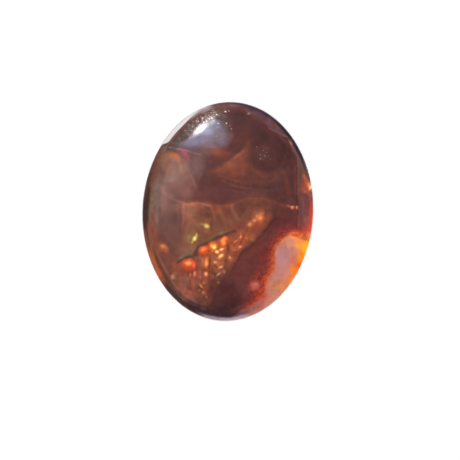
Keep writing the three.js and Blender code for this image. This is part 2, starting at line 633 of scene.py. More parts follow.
# %% Band at the right
band = region([
    (4.21, 3.33), (4.23, 1.89), (4.23, 0.09), (4.27, -1.59), (5.53, -1.71), (5.89, 1.29),
    (5.29, 3.69)], 0.07)
lay("#6c4a46", 0.95 * band)
glows([
    ((4.45, 2.85), (0.24, 0.48), 6, "#75584a", 0.9),
    ((4.63, 0.27), (0.3, 0.66), 0, "#6c4346", 0.85),
    ((4.54, 1.41), (0.24, 0.33), -12, "#a8523f", 1.0),
    ((4.69, 2.13), (0.22, 0.36), -12, "#6e4438", 0.85),
    ((4.45, -0.27), (0.18, 0.72), 0, "#6b4a4c", 0.8),
    ((4.69, -0.45), (0.24, 0.54), 0, "#8e5a54", 0.75),
    ((4.51, -1.23), (0.36, 0.3), 0, "#ae5247", 0.9),
])
lines([
    ([(4.39, 2.73), (4.48, 2.25), (4.63, 1.77), (4.81, 1.29)], 0.16, "#b8543e", (0.0, 0.9)),
    # Painted glint: the bright orange streak that reaches the edge.
    ([(4.57, 2.13), (4.75, 1.77), (4.96, 1.41)], 0.13, "#f28a4c", (0.5, 1.0)),
    ([(4.54, 1.29), (4.81, 1.05), (5.05, 0.87)], 0.16, "#b0503f", (0.6, 0.6)),
    ([(4.45, 0.87), (4.51, 0.33), (4.45, -0.15)], 0.08, "#806055", (0.6, 0.4)),
    ([(4.2, 3.21), (4.21, 1.89), (4.21, -0.21), (4.24, -0.99)], 0.05, "#906c6a", (0.6, 0.4)),
    ([(4.13, 0.93), (4.16, 0.33), (4.16, -0.15)], 0.07, "#43292b", (0.6, 0.8)),
])
# A small painted glint on the band.
lay("#b48c80", 0.8 * glow((4.62, 1.19), (0.08, 0.06)))
tell("band")

# %% [markdown]
# ## Veined middle
#
# A thin bright seam crosses the stone and drops a branch at the left. Below it the layer is golden
# brown with olive patches, and thin veins join the seam to the bubbles.

# %% Golden ground
golden = region([
    (-2.75, 0.45), (-1.43, 0.51), (-0.65, 0.27), (0.25, 0.45), (1.21, 0.75), (2.05, 0.75), (2.53, 0.33),
    (1.81, -0.27), (1.09, -0.87), (0.37, -1.35), (-0.35, -1.59), (-1.19, -2.01), (-1.79, -2.55),
    (-2.51, -2.91), (-2.99, -2.67), (-2.75, -1.71), (-2.69, -0.63)], 0.72)
lay("#7c4a3c", 0.95 * golden)
glows([
    ((-2.27, -0.15), (0.48, 0.48), 0, "#a5654e", 0.9),
    ((-2.15, -0.87), (0.54, 0.54), 0, "#915b48", 0.9),
    ((-2.27, -1.71), (0.54, 0.6), 0, "#93654c", 0.9),
    ((-2.69, -2.31), (0.48, 0.48), 0, "#7a5347", 0.8),
    ((-1.31, -0.09), (0.42, 0.3), -5, "#663b31", 0.9),
    ((-2.09, 0.03), (0.24, 0.12), 0, "#8c6a50", 0.6),
    ((-1.31, -0.57), (0.48, 0.18), 0, "#8d563f", 0.8),
    ((-1.25, -1.17), (0.36, 0.24), 20, "#8b5a3e", 0.9),
    ((-1.67, -0.75), (0.15, 0.12), 20, "#8a6a3c", 0.8),
    ((-0.59, 0.09), (0.3, 0.24), -30, "#a5553d", 0.9),
    ((-0.05, -0.03), (0.3, 0.3), 0, "#6d3d32", 0.9),
    ((-0.53, -0.57), (0.3, 0.3), 0, "#784539", 0.8),
    ((-0.05, -0.57), (0.3, 0.3), 0, "#8c5440", 0.9),
    ((-0.53, -1.05), (0.42, 0.16), 18, "#7b5a42", 0.8),
    ((0.37, -0.99), (0.3, 0.24), 35, "#96493a", 0.9),
    ((0.85, 0.15), (0.48, 0.42), -15, "#653930", 0.9),
    ((0.37, 0.51), (0.3, 0.18), 0, "#643a33", 0.6),
    ((-2.21, 0.33), (0.72, 0.36), 0, "#a86049", 0.7),
    ((1.81, 0.39), (0.72, 0.3), 0, "#703f37", 0.9),
    ((3.01, 0.39), (0.48, 0.24), -14, "#66392f", 0.7),
    ((1.81, -0.15), (0.42, 0.3), 35, "#a05a3c", 0.9),
    ((2.41, -0.39), (0.42, 0.21), 40, "#8c4634", 0.8),
    ((-0.35, -1.29), (0.48, 0.12), 22, "#8c7448", 0.8),
    ((-1.19, -1.71), (0.42, 0.12), 38, "#84704a", 0.75),
    ((-2.27, -2.43), (0.42, 0.18), 18, "#7e6450", 0.8),
    ((-2.81, 0.21), (1.02, 0.48), 0, "#93685c", 0.6),
    ((-2.51, -2.31), (0.42, 0.36), 0, "#93604a", 0.8),
    ((-2.15, -2.13), (0.24, 0.24), 0, "#a06b4c", 0.8),
    ((-3.23, -1.89), (0.48, 0.6), 0, "#7c5247", 0.6),
    ((-3.95, -3.51), (0.3, 0.72), 20, "#a0553f", 0.85),
])
tell("golden ground")

# %% Seam and veins
lines([
    ([(-3.95, 1.41), (-3.71, 1.05), (-3.35, 0.75), (-2.69, 0.51)], 0.1, "#a47068", (0.35, 0.5)),
    ([(-2.66, 0.41), (-2.27, 0.43), (-1.85, 0.51), (-1.43, 0.45), (-1.07, 0.36)], 0.1, "#d2825f",
     (1.0, 0.6)),
    ([(-1.07, 0.36), (-0.59, 0.3), (0.01, 0.33), (0.31, 0.42)], 0.09, "#a8583e", (0.9, 0.7)),
    ([(-2.39, 0.21), (-1.97, 0.33), (-1.43, 0.28)], 0.09, "#b8674c", (0.7, 0.4)),
    ([(-1.79, 0.6), (-1.19, 0.51), (-0.71, 0.42)], 0.11, "#94483a", (0.6, 0.6)),
    ([(0.25, 0.39), (0.73, 0.63), (1.15, 0.76), (1.81, 0.78), (2.41, 0.69)], 0.08, "#8e5546",
     (0.4, 0.55)),
    ([(1.69, 0.75), (2.53, 0.63), (3.19, 0.39), (3.73, 0.27)], 0.11, "#7d4638", (0.7, 0.7)),
    ([(-2.63, 0.41), (-2.63, -0.03), (-2.66, -0.63), (-2.75, -1.23)], 0.14, "#b46f5a", (0.9, 0.1)),
    ([(-2.81, 0.33), (-2.84, -0.27), (-2.87, -1.23), (-2.99, -2.07)], 0.09, "#6c4c46", (0.6, 0.5)),
    ([(0.22, 0.45), (0.24, -0.03), (0.37, -0.33), (0.65, -0.51)], 0.11, "#8a5444", (0.5, 0.5)),
    ([(1.33, 0.33), (1.09, -0.03), (0.91, -0.33), (0.67, -0.54)], 0.11, "#8a5646", (0.6, 0.4)),
    ([(1.69, 0.27), (1.33, 0.03), (1.09, -0.39), (0.79, -0.87)], 0.07, "#86513f", (0.6, 0.5)),
    ([(-2.21, -0.27), (-1.97, -0.66), (-1.67, -0.93)], 0.11, "#a5644c", (0.6, 0.8)),
    ([(-1.43, -0.09), (-1.31, 0.0), (-1.13, -0.03)], 0.12, "#7d5a45", (0.6, 0.4)),
    ([(-0.98, -0.15), (-0.97, -0.63), (-1.01, -1.11)], 0.08, "#5f392a", (0.3, 0.6)),
    ([(-0.83, 0.21), (-0.53, -0.27), (-0.35, -0.87)], 0.08, "#6f3f34", (0.4, 0.5)),
    ([(-0.11, 0.09), (-0.05, -0.51), (0.07, -1.11)], 0.08, "#6b3d33", (0.5, 0.5)),
    ([(0.97, -0.93), (1.33, -0.63), (1.57, -0.33), (1.87, -0.09)], 0.08, "#6b3426", (0.9, 0.5)),
    ([(0.61, -1.05), (1.09, -0.75), (1.45, -0.51)], 0.07, "#6e3e31", (0.5, 0.5)),
    ([(1.27, -1.05), (1.75, -0.81), (2.11, -0.57), (2.29, -0.21)], 0.08, "#6b3a2a", (0.8, 0.7)),
    ([(0.73, -1.17), (1.15, -0.84), (1.45, -0.6)], 0.18, "#7c3c2e", (0.8, 0.8)),
    ([(-0.98, 0.27), (-0.86, -0.09), (-0.77, -0.57)], 0.09, "#a0684e", (0.8, 0.3)),
    ([(0.25, 0.33), (0.37, -0.06), (0.65, -0.48)], 0.1, "#9c6650", (0.7, 0.7)),
    ([(-0.41, 0.21), (-0.38, -0.15), (-0.23, -0.51)], 0.08, "#96583f", (0.7, 0.4)),
    ([(2.23, 0.03), (2.32, -0.27), (2.17, -0.63), (1.81, -0.87)], 0.08, "#6a3426", (0.5, 0.8)),
])
tell("seam and veins")

# %% [markdown]
# ## Rippled ground under the bubbles
#
# Below the chain of bubbles the layer hangs in narrow folds, like drips of wax side by side. Each fold
# is a rounded ridge in the relief, with a dark seam between it and the next.

# %% Ground of the folds
rippled = region([
    (-3.11, -3.15), (-2.51, -2.85), (-1.91, -2.55), (-1.49, -2.07), (-0.83, -1.83), (-0.11, -1.47),
    (0.73, -1.11), (1.57, -0.75), (2.29, -0.21), (2.53, -0.33), (2.05, -1.05), (1.33, -1.77),
    (0.73, -2.31), (0.25, -3.03), (-0.17, -3.69), (-0.71, -4.11), (-0.95, -4.83), (-1.19, -5.49),
    (-1.91, -5.49), (-2.51, -5.25), (-2.99, -4.59), (-3.35, -3.87)], 0.54)
lay("#94533d", 0.9 * rippled)
glows([
    ((0.85, -1.65), (0.54, 0.3), 35, "#b0583a", 0.9),
    ((0.01, -2.13), (0.42, 0.36), 20, "#ae5b39", 0.9),
    ((0.19, -2.73), (0.42, 0.36), 40, "#96503a", 0.8),
    ((1.51, -0.93), (0.6, 0.24), 42, "#8c4732", 0.9),
    ((-0.65, -3.03), (0.36, 0.36), 0, "#ad6543", 0.9),
    ((-0.41, -3.57), (0.36, 0.3), 40, "#895240", 0.8),
    ((-1.49, -2.91), (0.36, 0.36), 0, "#a85f42", 0.9),
    ((-1.07, -3.51), (0.3, 0.3), 0, "#904c36", 0.8),
    ((-1.33, -4.35), (0.16, 0.9), -2, "#a0543b", 0.9),
    ((-0.89, -4.29), (0.24, 0.48), -20, "#643a30", 0.8),
    ((-2.03, -3.75), (0.24, 0.48), 0, "#984f3c", 0.8),
    ((-2.54, -4.23), (0.2, 0.3), 0, "#6f5450", 0.8),
    ((-2.27, -3.63), (0.36, 0.24), 0, "#8a4a3c", 0.8),
    ((-2.27, -4.71), (0.24, 0.42), 0, "#8a4a3e", 0.8),
    ((-2.99, -3.75), (0.3, 0.42), 10, "#8e5140", 0.8),
    ((-3.11, -3.21), (0.24, 0.24), 0, "#9a5238", 0.9),
    ((-1.85, -5.25), (0.42, 0.24), -30, "#764d40", 0.8),
    ((-1.31, -5.25), (0.3, 0.3), -30, "#653a2e", 0.8),
    ((0.07, -3.39), (0.24, 0.3), 0, "#784738", 0.7),
    ((0.37, -2.07), (0.48, 0.54), 30, "#b25a3a", 0.7),
    ((-0.41, -2.97), (0.48, 0.36), 0, "#c47446", 0.85),
    ((1.09, -1.59), (0.48, 0.36), 40, "#ac5a3c", 0.8),
    ((-2.57, -5.13), (0.42, 0.3), 40, "#bc6a54", 0.95),
    ((-1.73, -5.31), (0.36, 0.24), 0, "#58362e", 0.85),
    ((-0.98, -4.47), (0.26, 0.78), -4, "#56302a", 0.85),
    ((-1.67, -4.53), (0.24, 0.54), 0, "#633628", 0.85),
    ((-0.65, -3.87), (0.3, 0.24), 30, "#70483c", 0.6),
])
tell("ground of the folds")

# %% Seams and relief of the folds
PLEAT_HEIGHT = 0.02
SEAM_DEPTH = 0.04
lines([
    ([(-1.8, -2.61), (-1.81, -3.15), (-1.82, -3.87), (-1.88, -4.71)], 0.13, "#6f4a46", (0.9, 0.3)),
    ([(-1.09, -2.67), (-1.1, -3.27), (-1.13, -3.87), (-1.13, -4.47), (-1.07, -4.95)], 0.09, "#54331f",
     (0.9, 0.0)),
    ([(-1.49, -2.67), (-1.51, -3.15), (-1.49, -3.87), (-1.55, -4.35)], 0.1, "#7c4234", (0.6, 0.5)),
    ([(-0.05, -1.95), (0.01, -2.31), (-0.08, -2.79), (-0.17, -3.15), (-0.05, -3.63)], 0.08, "#66382c",
     (0.5, 0.2)),
    ([(-0.92, -2.67), (-0.89, -3.15), (-0.95, -3.75)], 0.08, "#74402e", (0.7, 0.5)),
    ([(-0.77, -3.18), (-0.53, -3.44), (-0.17, -3.27), (-0.11, -2.91)], 0.07, "#5f3828", (0.8, 0.5)),
    ([(-0.89, -3.63), (-0.59, -3.87), (-0.17, -3.81), (0.01, -3.45)], 0.08, "#5c382e", (0.8, 0.5)),
    ([(-0.83, -2.79), (-0.53, -2.95), (-0.11, -2.82)], 0.07, "#74422c", (0.8, 0.5)),
    ([(-2.81, -3.39), (-2.66, -3.81), (-2.72, -4.47)], 0.1, "#6f4238", (0.6, 0.5)),
    ([(-2.21, -3.63), (-2.27, -4.05), (-2.21, -4.47), (-2.24, -4.95)], 0.09, "#74382e", (0.6, 0.5)),
    ([(0.49, -1.23), (0.25, -1.71), (0.19, -2.19)], 0.08, "#70402f", (0.5, 0.7)),
    ([(0.73, -1.23), (0.49, -1.65), (0.37, -2.07)], 0.08, "#6f3a2c", (0.6, 0.6)),
    ([(1.15, -1.11), (0.91, -1.59), (0.73, -2.01)], 0.08, "#70392a", (0.6, 0.6)),
    ([(1.57, -0.93), (1.27, -1.41), (1.09, -1.77)], 0.08, "#743f2e", (0.5, 0.6)),
    ([(0.91, -0.99), (0.67, -1.47), (0.55, -1.89)], 0.08, "#c06a42", (0.5, 0.7)),
    ([(1.33, -1.02), (1.09, -1.47), (0.97, -1.77)], 0.08, "#b5653f", (0.7, 0.4)),
    ([(0.19, -1.95), (0.31, -2.37), (0.19, -2.91)], 0.1, "#bb6a48", (0.6, 0.4)),
    ([(1.81, -0.75), (2.11, -0.45), (2.41, -0.15)], 0.11, "#9c5138", (0.8, 0.5)),
    ([(-2.69, -4.89), (-2.6, -4.68), (-2.39, -4.65), (-2.21, -4.83), (-2.12, -5.19)], 0.08, "#a86454",
     (0.7, 0.4)),
    ([(-2.51, -4.95), (-2.39, -4.86), (-2.3, -5.07)], 0.09, "#803a32", (0.8, 0.5)),
])
shade(0.4 * rippled * (cloud(0.3, 11) - 0.5))
relief += PLEAT_HEIGHT * (rippled * cloud(0.22, 12))
for seam in [
    [(-1.8, -2.55), (-1.81, -3.15), (-1.82, -3.87), (-1.88, -4.71)],
    [(-1.1, -2.67), (-1.1, -3.03), (-1.13, -3.63), (-1.13, -4.35)],
]:
    relief -= SEAM_DEPTH * line(seam, 0.18, (0.9, 0.4))
print(f"relief of the folds: {relief.min():.3f} to {relief.max():.3f} mm")

# %% [markdown]
# ## Fire bubbles
#
# Each bubble is a low dome of bright orange with a painted highlight of yellow in it, under a dark
# olive rim. Its surface is satin and partly metallic, because thin films of iron mineral reflect the
# light of one colour like a mirror. The dome shape is real relief, so each bubble also catches the light
# on its own upper left side. The smallest, palest bubbles are painted glints. Each row has a place, two
# radii, a turn and the colours of rim and painted highlight, and where they differ from the usual ones,
# the place of the painted highlight, the height and the softness.

# %% Bubble tool
HIGHLIGHT_SHARE = 0.7


def bubble(place, radii, turn, edge, painted_highlight, highlight_place=None, lift=0.03, soft=1.1):
    """A domed bubble: a rim colour, a painted highlight, metallic gleam and relief in millimetres.

    The relief is a bowl turned over: its height falls with the square of the way from the middle. The
    painted highlight lies in the middle too, where no place is given for it.
    """
    inside = spot(place, radii, turn, soft)
    lay(edge, inside)
    highlight_radii = (radii[0] * HIGHLIGHT_SHARE, radii[1] * HIGHLIGHT_SHARE)
    lay(painted_highlight, inside * glow(highlight_place or place, highlight_radii, turn))
    fire[:] = np.maximum(fire, inside)
    relief[:] += lift * np.clip(1 - from_middle(place, radii, turn) ** 2, 0, 1)

# %% Glow and dark rim of the chain
glows([
    ((-2.45, -3.21), (0.6, 0.42), 0, "#a44a34", 0.9),
    ((-2.33, -3.51), (0.42, 0.24), 0, "#93412f", 0.8),
    ((-1.31, -3.03), (0.3, 0.42), 0, "#b0683f", 0.8),
    ((-0.83, -2.25), (0.66, 0.3), 30, "#b3602f", 0.9),
    ((-0.47, -2.61), (0.3, 0.3), 30, "#b87242", 0.8),
    ((-0.41, -2.01), (0.42, 0.3), 30, "#b05a30", 0.8),
    ((-2.0, -1.56), (0.24, 0.33), 0, "#a07c44", 0.9),
    ((-1.37, -0.87), (0.3, 0.18), -10, "#96703e", 0.9),
    ((1.75, -0.39), (0.54, 0.33), 28, "#a65e3e", 0.95),
    ((1.33, -0.75), (0.36, 0.24), 35, "#a45c3c", 0.9),
    ((-3.83, -2.13), (0.3, 0.24), -40, "#a05a40", 0.9),
])
lines([
    ([(-2.99, -3.03), (-2.69, -2.85), (-2.39, -2.73), (-2.06, -2.7), (-1.91, -2.43), (-1.73, -2.13),
      (-1.37, -1.93), (-1.07, -1.77), (-0.65, -1.56), (-0.35, -1.44), (0.01, -1.32), (0.37, -1.17)],
     0.13, "#45302a", (0.9, 0.5)),
    ([(-2.87, -2.82), (-2.51, -2.58), (-2.21, -2.52), (-2.03, -2.19), (-1.73, -1.89), (-1.25, -1.68),
      (-0.71, -1.41)], 0.14, "#7d6b55", (0.8, 0.2)),
    ([(-1.88, -2.67), (-1.76, -2.43), (-1.79, -2.13)], 0.1, "#5a3a3a", (0.9, 0.6)),
])
tell("rim of the chain")

# %% Bubbles and glints
for row in [
    ((-2.33, -3.14), (0.39, 0.27), 0, "#cc5634", "#ffa450", (-2.32, -3.1), 0.12, 1.2),
    ((-2.02, -3.24), (0.1, 0.2), 3, "#e8683c", "#ff8c5c", (-2.02, -3.21), 0.02),
    ((-1.43, -2.3), (0.28, 0.22), 14, "#e0602f", "#ff8a44", (-1.39, -2.29), 0.1, 0.9),
    ((-0.85, -2.08), (0.31, 0.26), 24, "#d97232", "#ffb44c", (-0.83, -2.11), 0.1, 0.8),
    ((-0.8, -2.15), (0.12, 0.12), 0, "#ffdc74", "#fff6a8", (-0.8, -2.15), 0.02),
    ((-0.24, -1.71), (0.28, 0.18), 20, "#ee6a34", "#ff8448", (-0.2, -1.65), 0.06, 0.8),
    ((-0.26, -1.86), (0.16, 0.18), 0, "#ff8a48", "#ffbc74", (-0.24, -1.87), 0.06),
    ((-0.44, -1.75), (0.08, 0.08), 0, "#f07c40", "#ffa860", (-0.44, -1.75), 0.02),
    ((-0.66, -2.41), (0.12, 0.1), 0, "#ffcc74", "#fff8b8"),
    ((-0.38, -2.28), (0.16, 0.08), 14, "#ea9c5c", "#ffdca8"),
    ((-0.43, -2.67), (0.19, 0.1), 30, "#e89a54", "#ffde96", (-0.41, -2.64)),
    ((-0.95, -2.4), (0.1, 0.06), 30, "#d08040", "#f0b060"),
    ((0.14, -2.75), (0.08, 0.1), 0, "#cc7852", "#f4a47c"),
    ((-1.26, -3.06), (0.13, 0.3), -4, "#dc7c40", "#ffb860", (-1.25, -3.15), 0.05),
    ((-1.49, -3.03), (0.08, 0.24), 0, "#b0603c", "#cc7c50", (-1.49, -2.97)),
    ((-1.28, -3.75), (0.1, 0.14), -5, "#c87850", "#ffbc90", (-1.28, -3.73)),
    ((-1.98, -3.73), (0.09, 0.19), -4, "#cc6c4c", "#f09474", (-1.98, -3.68)),
    ((-2.24, -3.81), (0.07, 0.18), 0, "#a05a44", "#b87060", (-2.24, -3.75)),
    ((-1.61, -4.44), (0.17, 0.06), -50, "#a8743a", "#d0a05a", (-1.58, -4.47)),
    ((-1.4, -4.27), (0.08, 0.07), 0, "#a86850", "#c08068"),
    ((-1.47, -4.85), (0.14, 0.09), -20, "#955c48", "#b47e68"),
    ((-1.27, -5.1), (0.12, 0.06), -50, "#7f4e40", "#966250"),
    ((-1.61, -3.93), (0.08, 0.1), 0, "#a05c44", "#b87458"),
    ((-1.7, -4.71), (0.1, 0.07), 40, "#96543c", "#a8684c"),
    ((-0.44, -3.33), (0.18, 0.08), 24, "#c87c58", "#f4b890", (-0.42, -3.32)),
    ((-0.55, -3.75), (0.19, 0.07), 35, "#9c6848", "#bc9068"),
    ((-0.2, -3.61), (0.08, 0.11), 0, "#8c5c48", "#a88068"),
    ((-0.74, -3.03), (0.16, 0.11), 10, "#bc7a54", "#dca078"),
    ((-0.56, -4.23), (0.11, 0.08), 30, "#75463a", "#8a5a48"),
    ((0.78, -1.55), (0.08, 0.12), -10, "#dc6c3c", "#ffa470", (0.78, -1.51)),
    ((0.48, -1.8), (0.18, 0.07), 45, "#c05e3e", "#dc7c58"),
    ((0.74, -2.11), (0.13, 0.08), 5, "#c87850", "#f0ac80"),
    ((0.43, -2.31), (0.08, 0.08), 0, "#a85c40", "#c07c58"),
    ((1.12, -1.63), (0.07, 0.16), 20, "#a85a3c", "#c47a50", (1.12, -1.6)),
    ((1.91, -0.37), (0.26, 0.25), 24, "#c87242", "#ffa262", (1.94, -0.4), 0.05),
    ((2.11, -0.12), (0.1, 0.08), 40, "#b0603e", "#b86a48"),
    ((1.61, -0.55), (0.12, 0.12), 40, "#c4704a", "#dc9068", (1.61, -0.55), 0.04),
    ((1.36, -0.79), (0.18, 0.16), 30, "#b06a46", "#e0935f", (1.34, -0.78), 0.04),
    ((1.45, -1.69), (0.16, 0.14), 0, "#80553c", "#9a7048", (1.45, -1.69), 0.02),
    ((3.86, 0.24), (0.13, 0.1), -20, "#cc7450", "#f09c70", (3.86, 0.27)),
    ((4.13, 0.22), (0.07, 0.1), 0, "#a86c4c", "#d09a74"),
    ((3.65, 0.33), (0.1, 0.05), -20, "#a85c40", "#c07450"),
    ((-3.79, -2.19), (0.3, 0.17), -48, "#b46038", "#ca7c4c", (-3.85, -2.11), 0.02),
    ((-3.29, -3.93), (0.14, 0.17), -10, "#906c4c", "#ac8c64", (-3.31, -3.91)),
    ((-1.26, -0.87), (0.17, 0.13), -14, "#c09a50", "#f4d68a", (-1.2, -0.9)),
    ((-1.51, -0.79), (0.12, 0.08), -20, "#947640", "#a8884a"),
    ((-1.98, -1.63), (0.11, 0.14), -12, "#e8cc60", "#ffffac", (-1.97, -1.64)),
    ((-2.1, -1.81), (0.05, 0.11), -28, "#b89c48", "#dcc468", (-2.09, -1.77)),
    ((-1.87, -1.39), (0.05, 0.17), -6, "#b0984a", "#f0d474", (-1.88, -1.45)),
    ((-2.27, -1.59), (0.1, 0.24), 0, "#8e6846", "#93704a"),
]:
    bubble(*row)
print(f"share of the layer that gleams: {(fire > 0.5).mean():.1%}")

# %% Lines between the bubbles
lay("#6d4632", 0.8 * glow((-1.13, -1.53), (0.36, 0.18), 28))
lines([
    ([(-3.83, -2.19), (-3.59, -2.4), (-3.35, -2.64), (-3.11, -2.91)], 0.14, "#9a523c", (0.6, 0.2)),
    ([(-1.1, -2.85), (-1.1, -3.39)], 0.06, "#54341c", (0.8, 0.6)),
    ([(0.01, -2.01), (0.04, -2.25)], 0.11, "#5b2c28", (0.8, 0.6)),
    ([(-1.13, -2.34), (-0.89, -2.52), (-0.65, -2.67)], 0.07, "#7c4424", (0.8, 0.8)),
    ([(-0.53, -2.04), (-0.47, -1.77), (-0.55, -1.62)], 0.05, "#a04c28", (0.7, 0.7)),
    ([(-1.13, -2.18), (-1.15, -1.94), (-1.07, -1.81)], 0.05, "#8c3c22", (0.8, 0.7)),
    ([(-1.49, -3.45), (-1.31, -3.51)], 0.08, "#84382a", (0.8, 0.8)),
    ([(-1.73, -2.59), (-1.49, -2.66), (-1.19, -2.59)], 0.07, "#84362a", (0.8, 0.8)),
    ([(-2.63, -3.55), (-2.27, -3.67), (-1.91, -3.51)], 0.09, "#7a3a30", (0.7, 0.7)),
])
tell("bubbles")

# %% [markdown]
# ## Pale patch with its rusty rim
#
# At the lower right the cutter has ground through the fire layer into pale chalcedony. Iron has crept
# into its border as tiny grains, bright orange against the patch and blood red towards the brown. The
# brightest orange and yellow at the patch's right edge is painted light that comes through the thin
# edge. The border is ragged, so from here on all that is drawn wobbles a little more.

# %% Shape of the pale patch
RAGGED = 0.1
RAGGED_SIZE = 0.3
PALE_SOFT = 0.14
x += RAGGED * (cloud(RAGGED_SIZE, 8) - 0.5)
y += RAGGED * (cloud(RAGGED_SIZE, 9) - 0.5)
pale_depth = depth_in([
    (3.19, -1.77), (3.37, -1.62), (3.55, -1.5), (3.73, -1.41), (3.97, -1.47), (4.27, -1.56),
    (4.51, -1.68), (4.87, -1.89), (5.53, -2.31), (5.41, -3.51), (4.33, -5.31), (2.53, -6.63),
    (0.73, -7.11), (-0.35, -6.87), (-0.11, -6.45), (0.49, -6.21), (0.97, -5.94), (1.45, -5.64),
    (1.81, -5.37), (2.08, -5.01), (2.26, -4.59), (2.35, -4.11), (2.63, -3.69), (2.76, -3.27),
    (2.76, -2.73), (2.89, -2.25)])
pale = smooth(pale_depth / PALE_SOFT + 0.5)
outside = np.clip(-pale_depth, 0, None)
print(f"pale share of the layer: {pale.mean():.1%}")

# %% Rust round the pale patch
RUST_STARTS = 0.49
RUST_SLIDE = 1.2
GRAINS_FULL_TO = 0.18
GRAINS_FADE = 0.36
rusty_side = smooth((x - RUST_STARTS) / RUST_SLIDE)
for colour, reach, power in [("#6a2f32", 0.69, 1), ("#94362c", 0.45, 2), ("#c05a34", 0.22, 2)]:
    lay(colour, 0.95 * rusty_side * np.exp(-(outside / reach) ** power))
past_full = np.maximum(outside - GRAINS_FULL_TO, 0)
rust[:] = np.maximum(rust, rusty_side * np.exp(-(past_full / GRAINS_FADE) ** 2))
lay("#b37e74", pale)
tell("rust")

# %% Colours of the pale patch
def on_pale(rows):
    """Lays soft ovals that stop at the edge of the pale patch."""
    for place, radii, turn, colour, strength in rows:
        lay(colour, strength * pale * glow(place, radii, turn))


on_pale([
    ((3.31, -2.67), (0.54, 0.9), 8, "#a98185", 1.0),
    ((3.25, -2.01), (0.36, 0.24), 30, "#b8806f", 0.7),
    ((3.73, -1.95), (0.36, 0.36), 0, "#c98b74", 0.9),
    ((3.91, -3.03), (0.24, 0.54), 5, "#aa6650", 0.7),
    ((3.25, -3.57), (0.42, 0.42), 30, "#ad7e76", 0.9),
    ((2.89, -4.41), (0.48, 0.42), 42, "#b47854", 0.9),
    ((3.37, -4.47), (0.54, 0.3), 50, "#cd8250", 0.95),
    ((2.41, -5.13), (0.54, 0.36), 35, "#b67662", 0.9),
    ((1.69, -5.67), (0.6, 0.3), 30, "#925c50", 0.95),
    ((0.91, -6.03), (0.72, 0.3), 25, "#64464a", 0.95),
    ((0.25, -6.39), (0.6, 0.18), 8, "#8c7880", 0.9),
    # Painted light: the bright orange and yellow at the right edge, where light comes through.
    ((4.21, -1.89), (0.3, 0.42), 30, "#f59a50", 1.0),
    ((4.63, -2.31), (0.34, 0.72), 3, "#ffa81c", 1.0),
    ((4.45, -2.91), (0.3, 0.54), 12, "#ff8400", 1.0),
    ((4.27, -3.27), (0.26, 0.3), 30, "#d85410", 1.0),
    ((4.09, -3.72), (0.34, 0.54), 32, "#ff7800", 1.0),
    ((3.79, -4.17), (0.22, 0.36), 34, "#f87c28", 0.9),
])
lines([
    ([(3.13, -1.86), (3.37, -1.68), (3.61, -1.56), (3.91, -1.59), (4.27, -1.68), (4.54, -1.83)], 0.1,
     "#ff9a58", (0.6, 1.0)),
    ([(3.07, -1.89), (2.86, -2.25), (2.77, -2.73), (2.75, -3.27), (2.62, -3.75), (2.41, -4.17),
      (2.32, -4.65)], 0.1, "#b65c3e", (0.9, 0.7)),
    ([(2.17, -4.95), (1.81, -5.37), (1.33, -5.73), (0.85, -5.97)], 0.08, "#9c4c40", (0.8, 0.5)),
    ([(0.01, -6.09), (0.49, -6.03), (0.97, -5.88)], 0.06, "#7a5054", (0.5, 0.8)),
    ([(2.89, -0.42), (2.68, -0.57), (2.41, -0.99), (2.2, -1.17), (2.08, -1.41), (1.81, -1.59),
      (1.69, -1.89), (1.39, -2.07), (1.09, -2.23), (0.79, -2.49), (0.72, -2.79), (0.49, -3.07),
      (0.37, -3.33), (0.19, -3.61)], 0.08, "#4c2b26", (0.75, 0.6)),
])
glows([
    ((3.7, -1.39), (0.08, 0.09), 0, "#ffa868", 1.0),
    ((2.89, -2.07), (0.12, 0.11), 0, "#c8785a", 0.8),
    ((3.79, -1.11), (0.66, 0.24), -4, "#8c3436", 0.7),
    ((3.97, -1.29), (0.72, 0.2), -2, "#d06a38", 0.9),
    ((4.45, -1.51), (0.24, 0.12), -30, "#ee8a44", 0.8),
    ((3.31, -1.29), (0.42, 0.18), 30, "#783032", 0.6),
    ((2.05, -3.03), (0.3, 0.72), -10, "#742f2f", 0.6),
    ((1.81, -3.75), (0.24, 0.36), 10, "#8f3631", 0.7),
    ((1.87, -4.89), (0.42, 0.54), 20, "#a8402a", 0.9),
    ((2.17, -4.23), (0.18, 0.42), 0, "#b04c2e", 0.8),
    ((1.27, -5.31), (0.42, 0.24), 30, "#6c2f2c", 0.8),
    ((1.51, -1.5), (0.36, 0.16), 42, "#a85e42", 0.6),
    ((1.93, -1.02), (0.3, 0.14), 45, "#9c4c38", 0.6),
    ((1.07, -1.92), (0.2, 0.12), 35, "#a24e34", 0.6),
    ((0.46, -2.67), (0.12, 0.24), -20, "#964838", 0.5),
])
tell("pale patch")

# %% Small pink spot in its red halo
GRAINS_STOP = 0.12
lay("#8a3a32", 0.9 * glow((1.6, -4.35), (0.54, 0.54)))
lay("#bb6a5c", spot((1.61, -4.41), (0.24, 0.22), -40, 1.3))
rust[:] = np.maximum(rust, spot((1.93, -4.53), (0.54, 1.02), -14, 0.8) * (1 - pale))
rust[:] *= 1 - spot((1.6, -4.41), (0.33, 0.3), 0, 0.6)
rust[:] *= 1 - smooth(pale_depth / GRAINS_STOP + 0.5)
print(f"share of the layer with rusty grains: {(rust > 0.5).mean():.1%}")
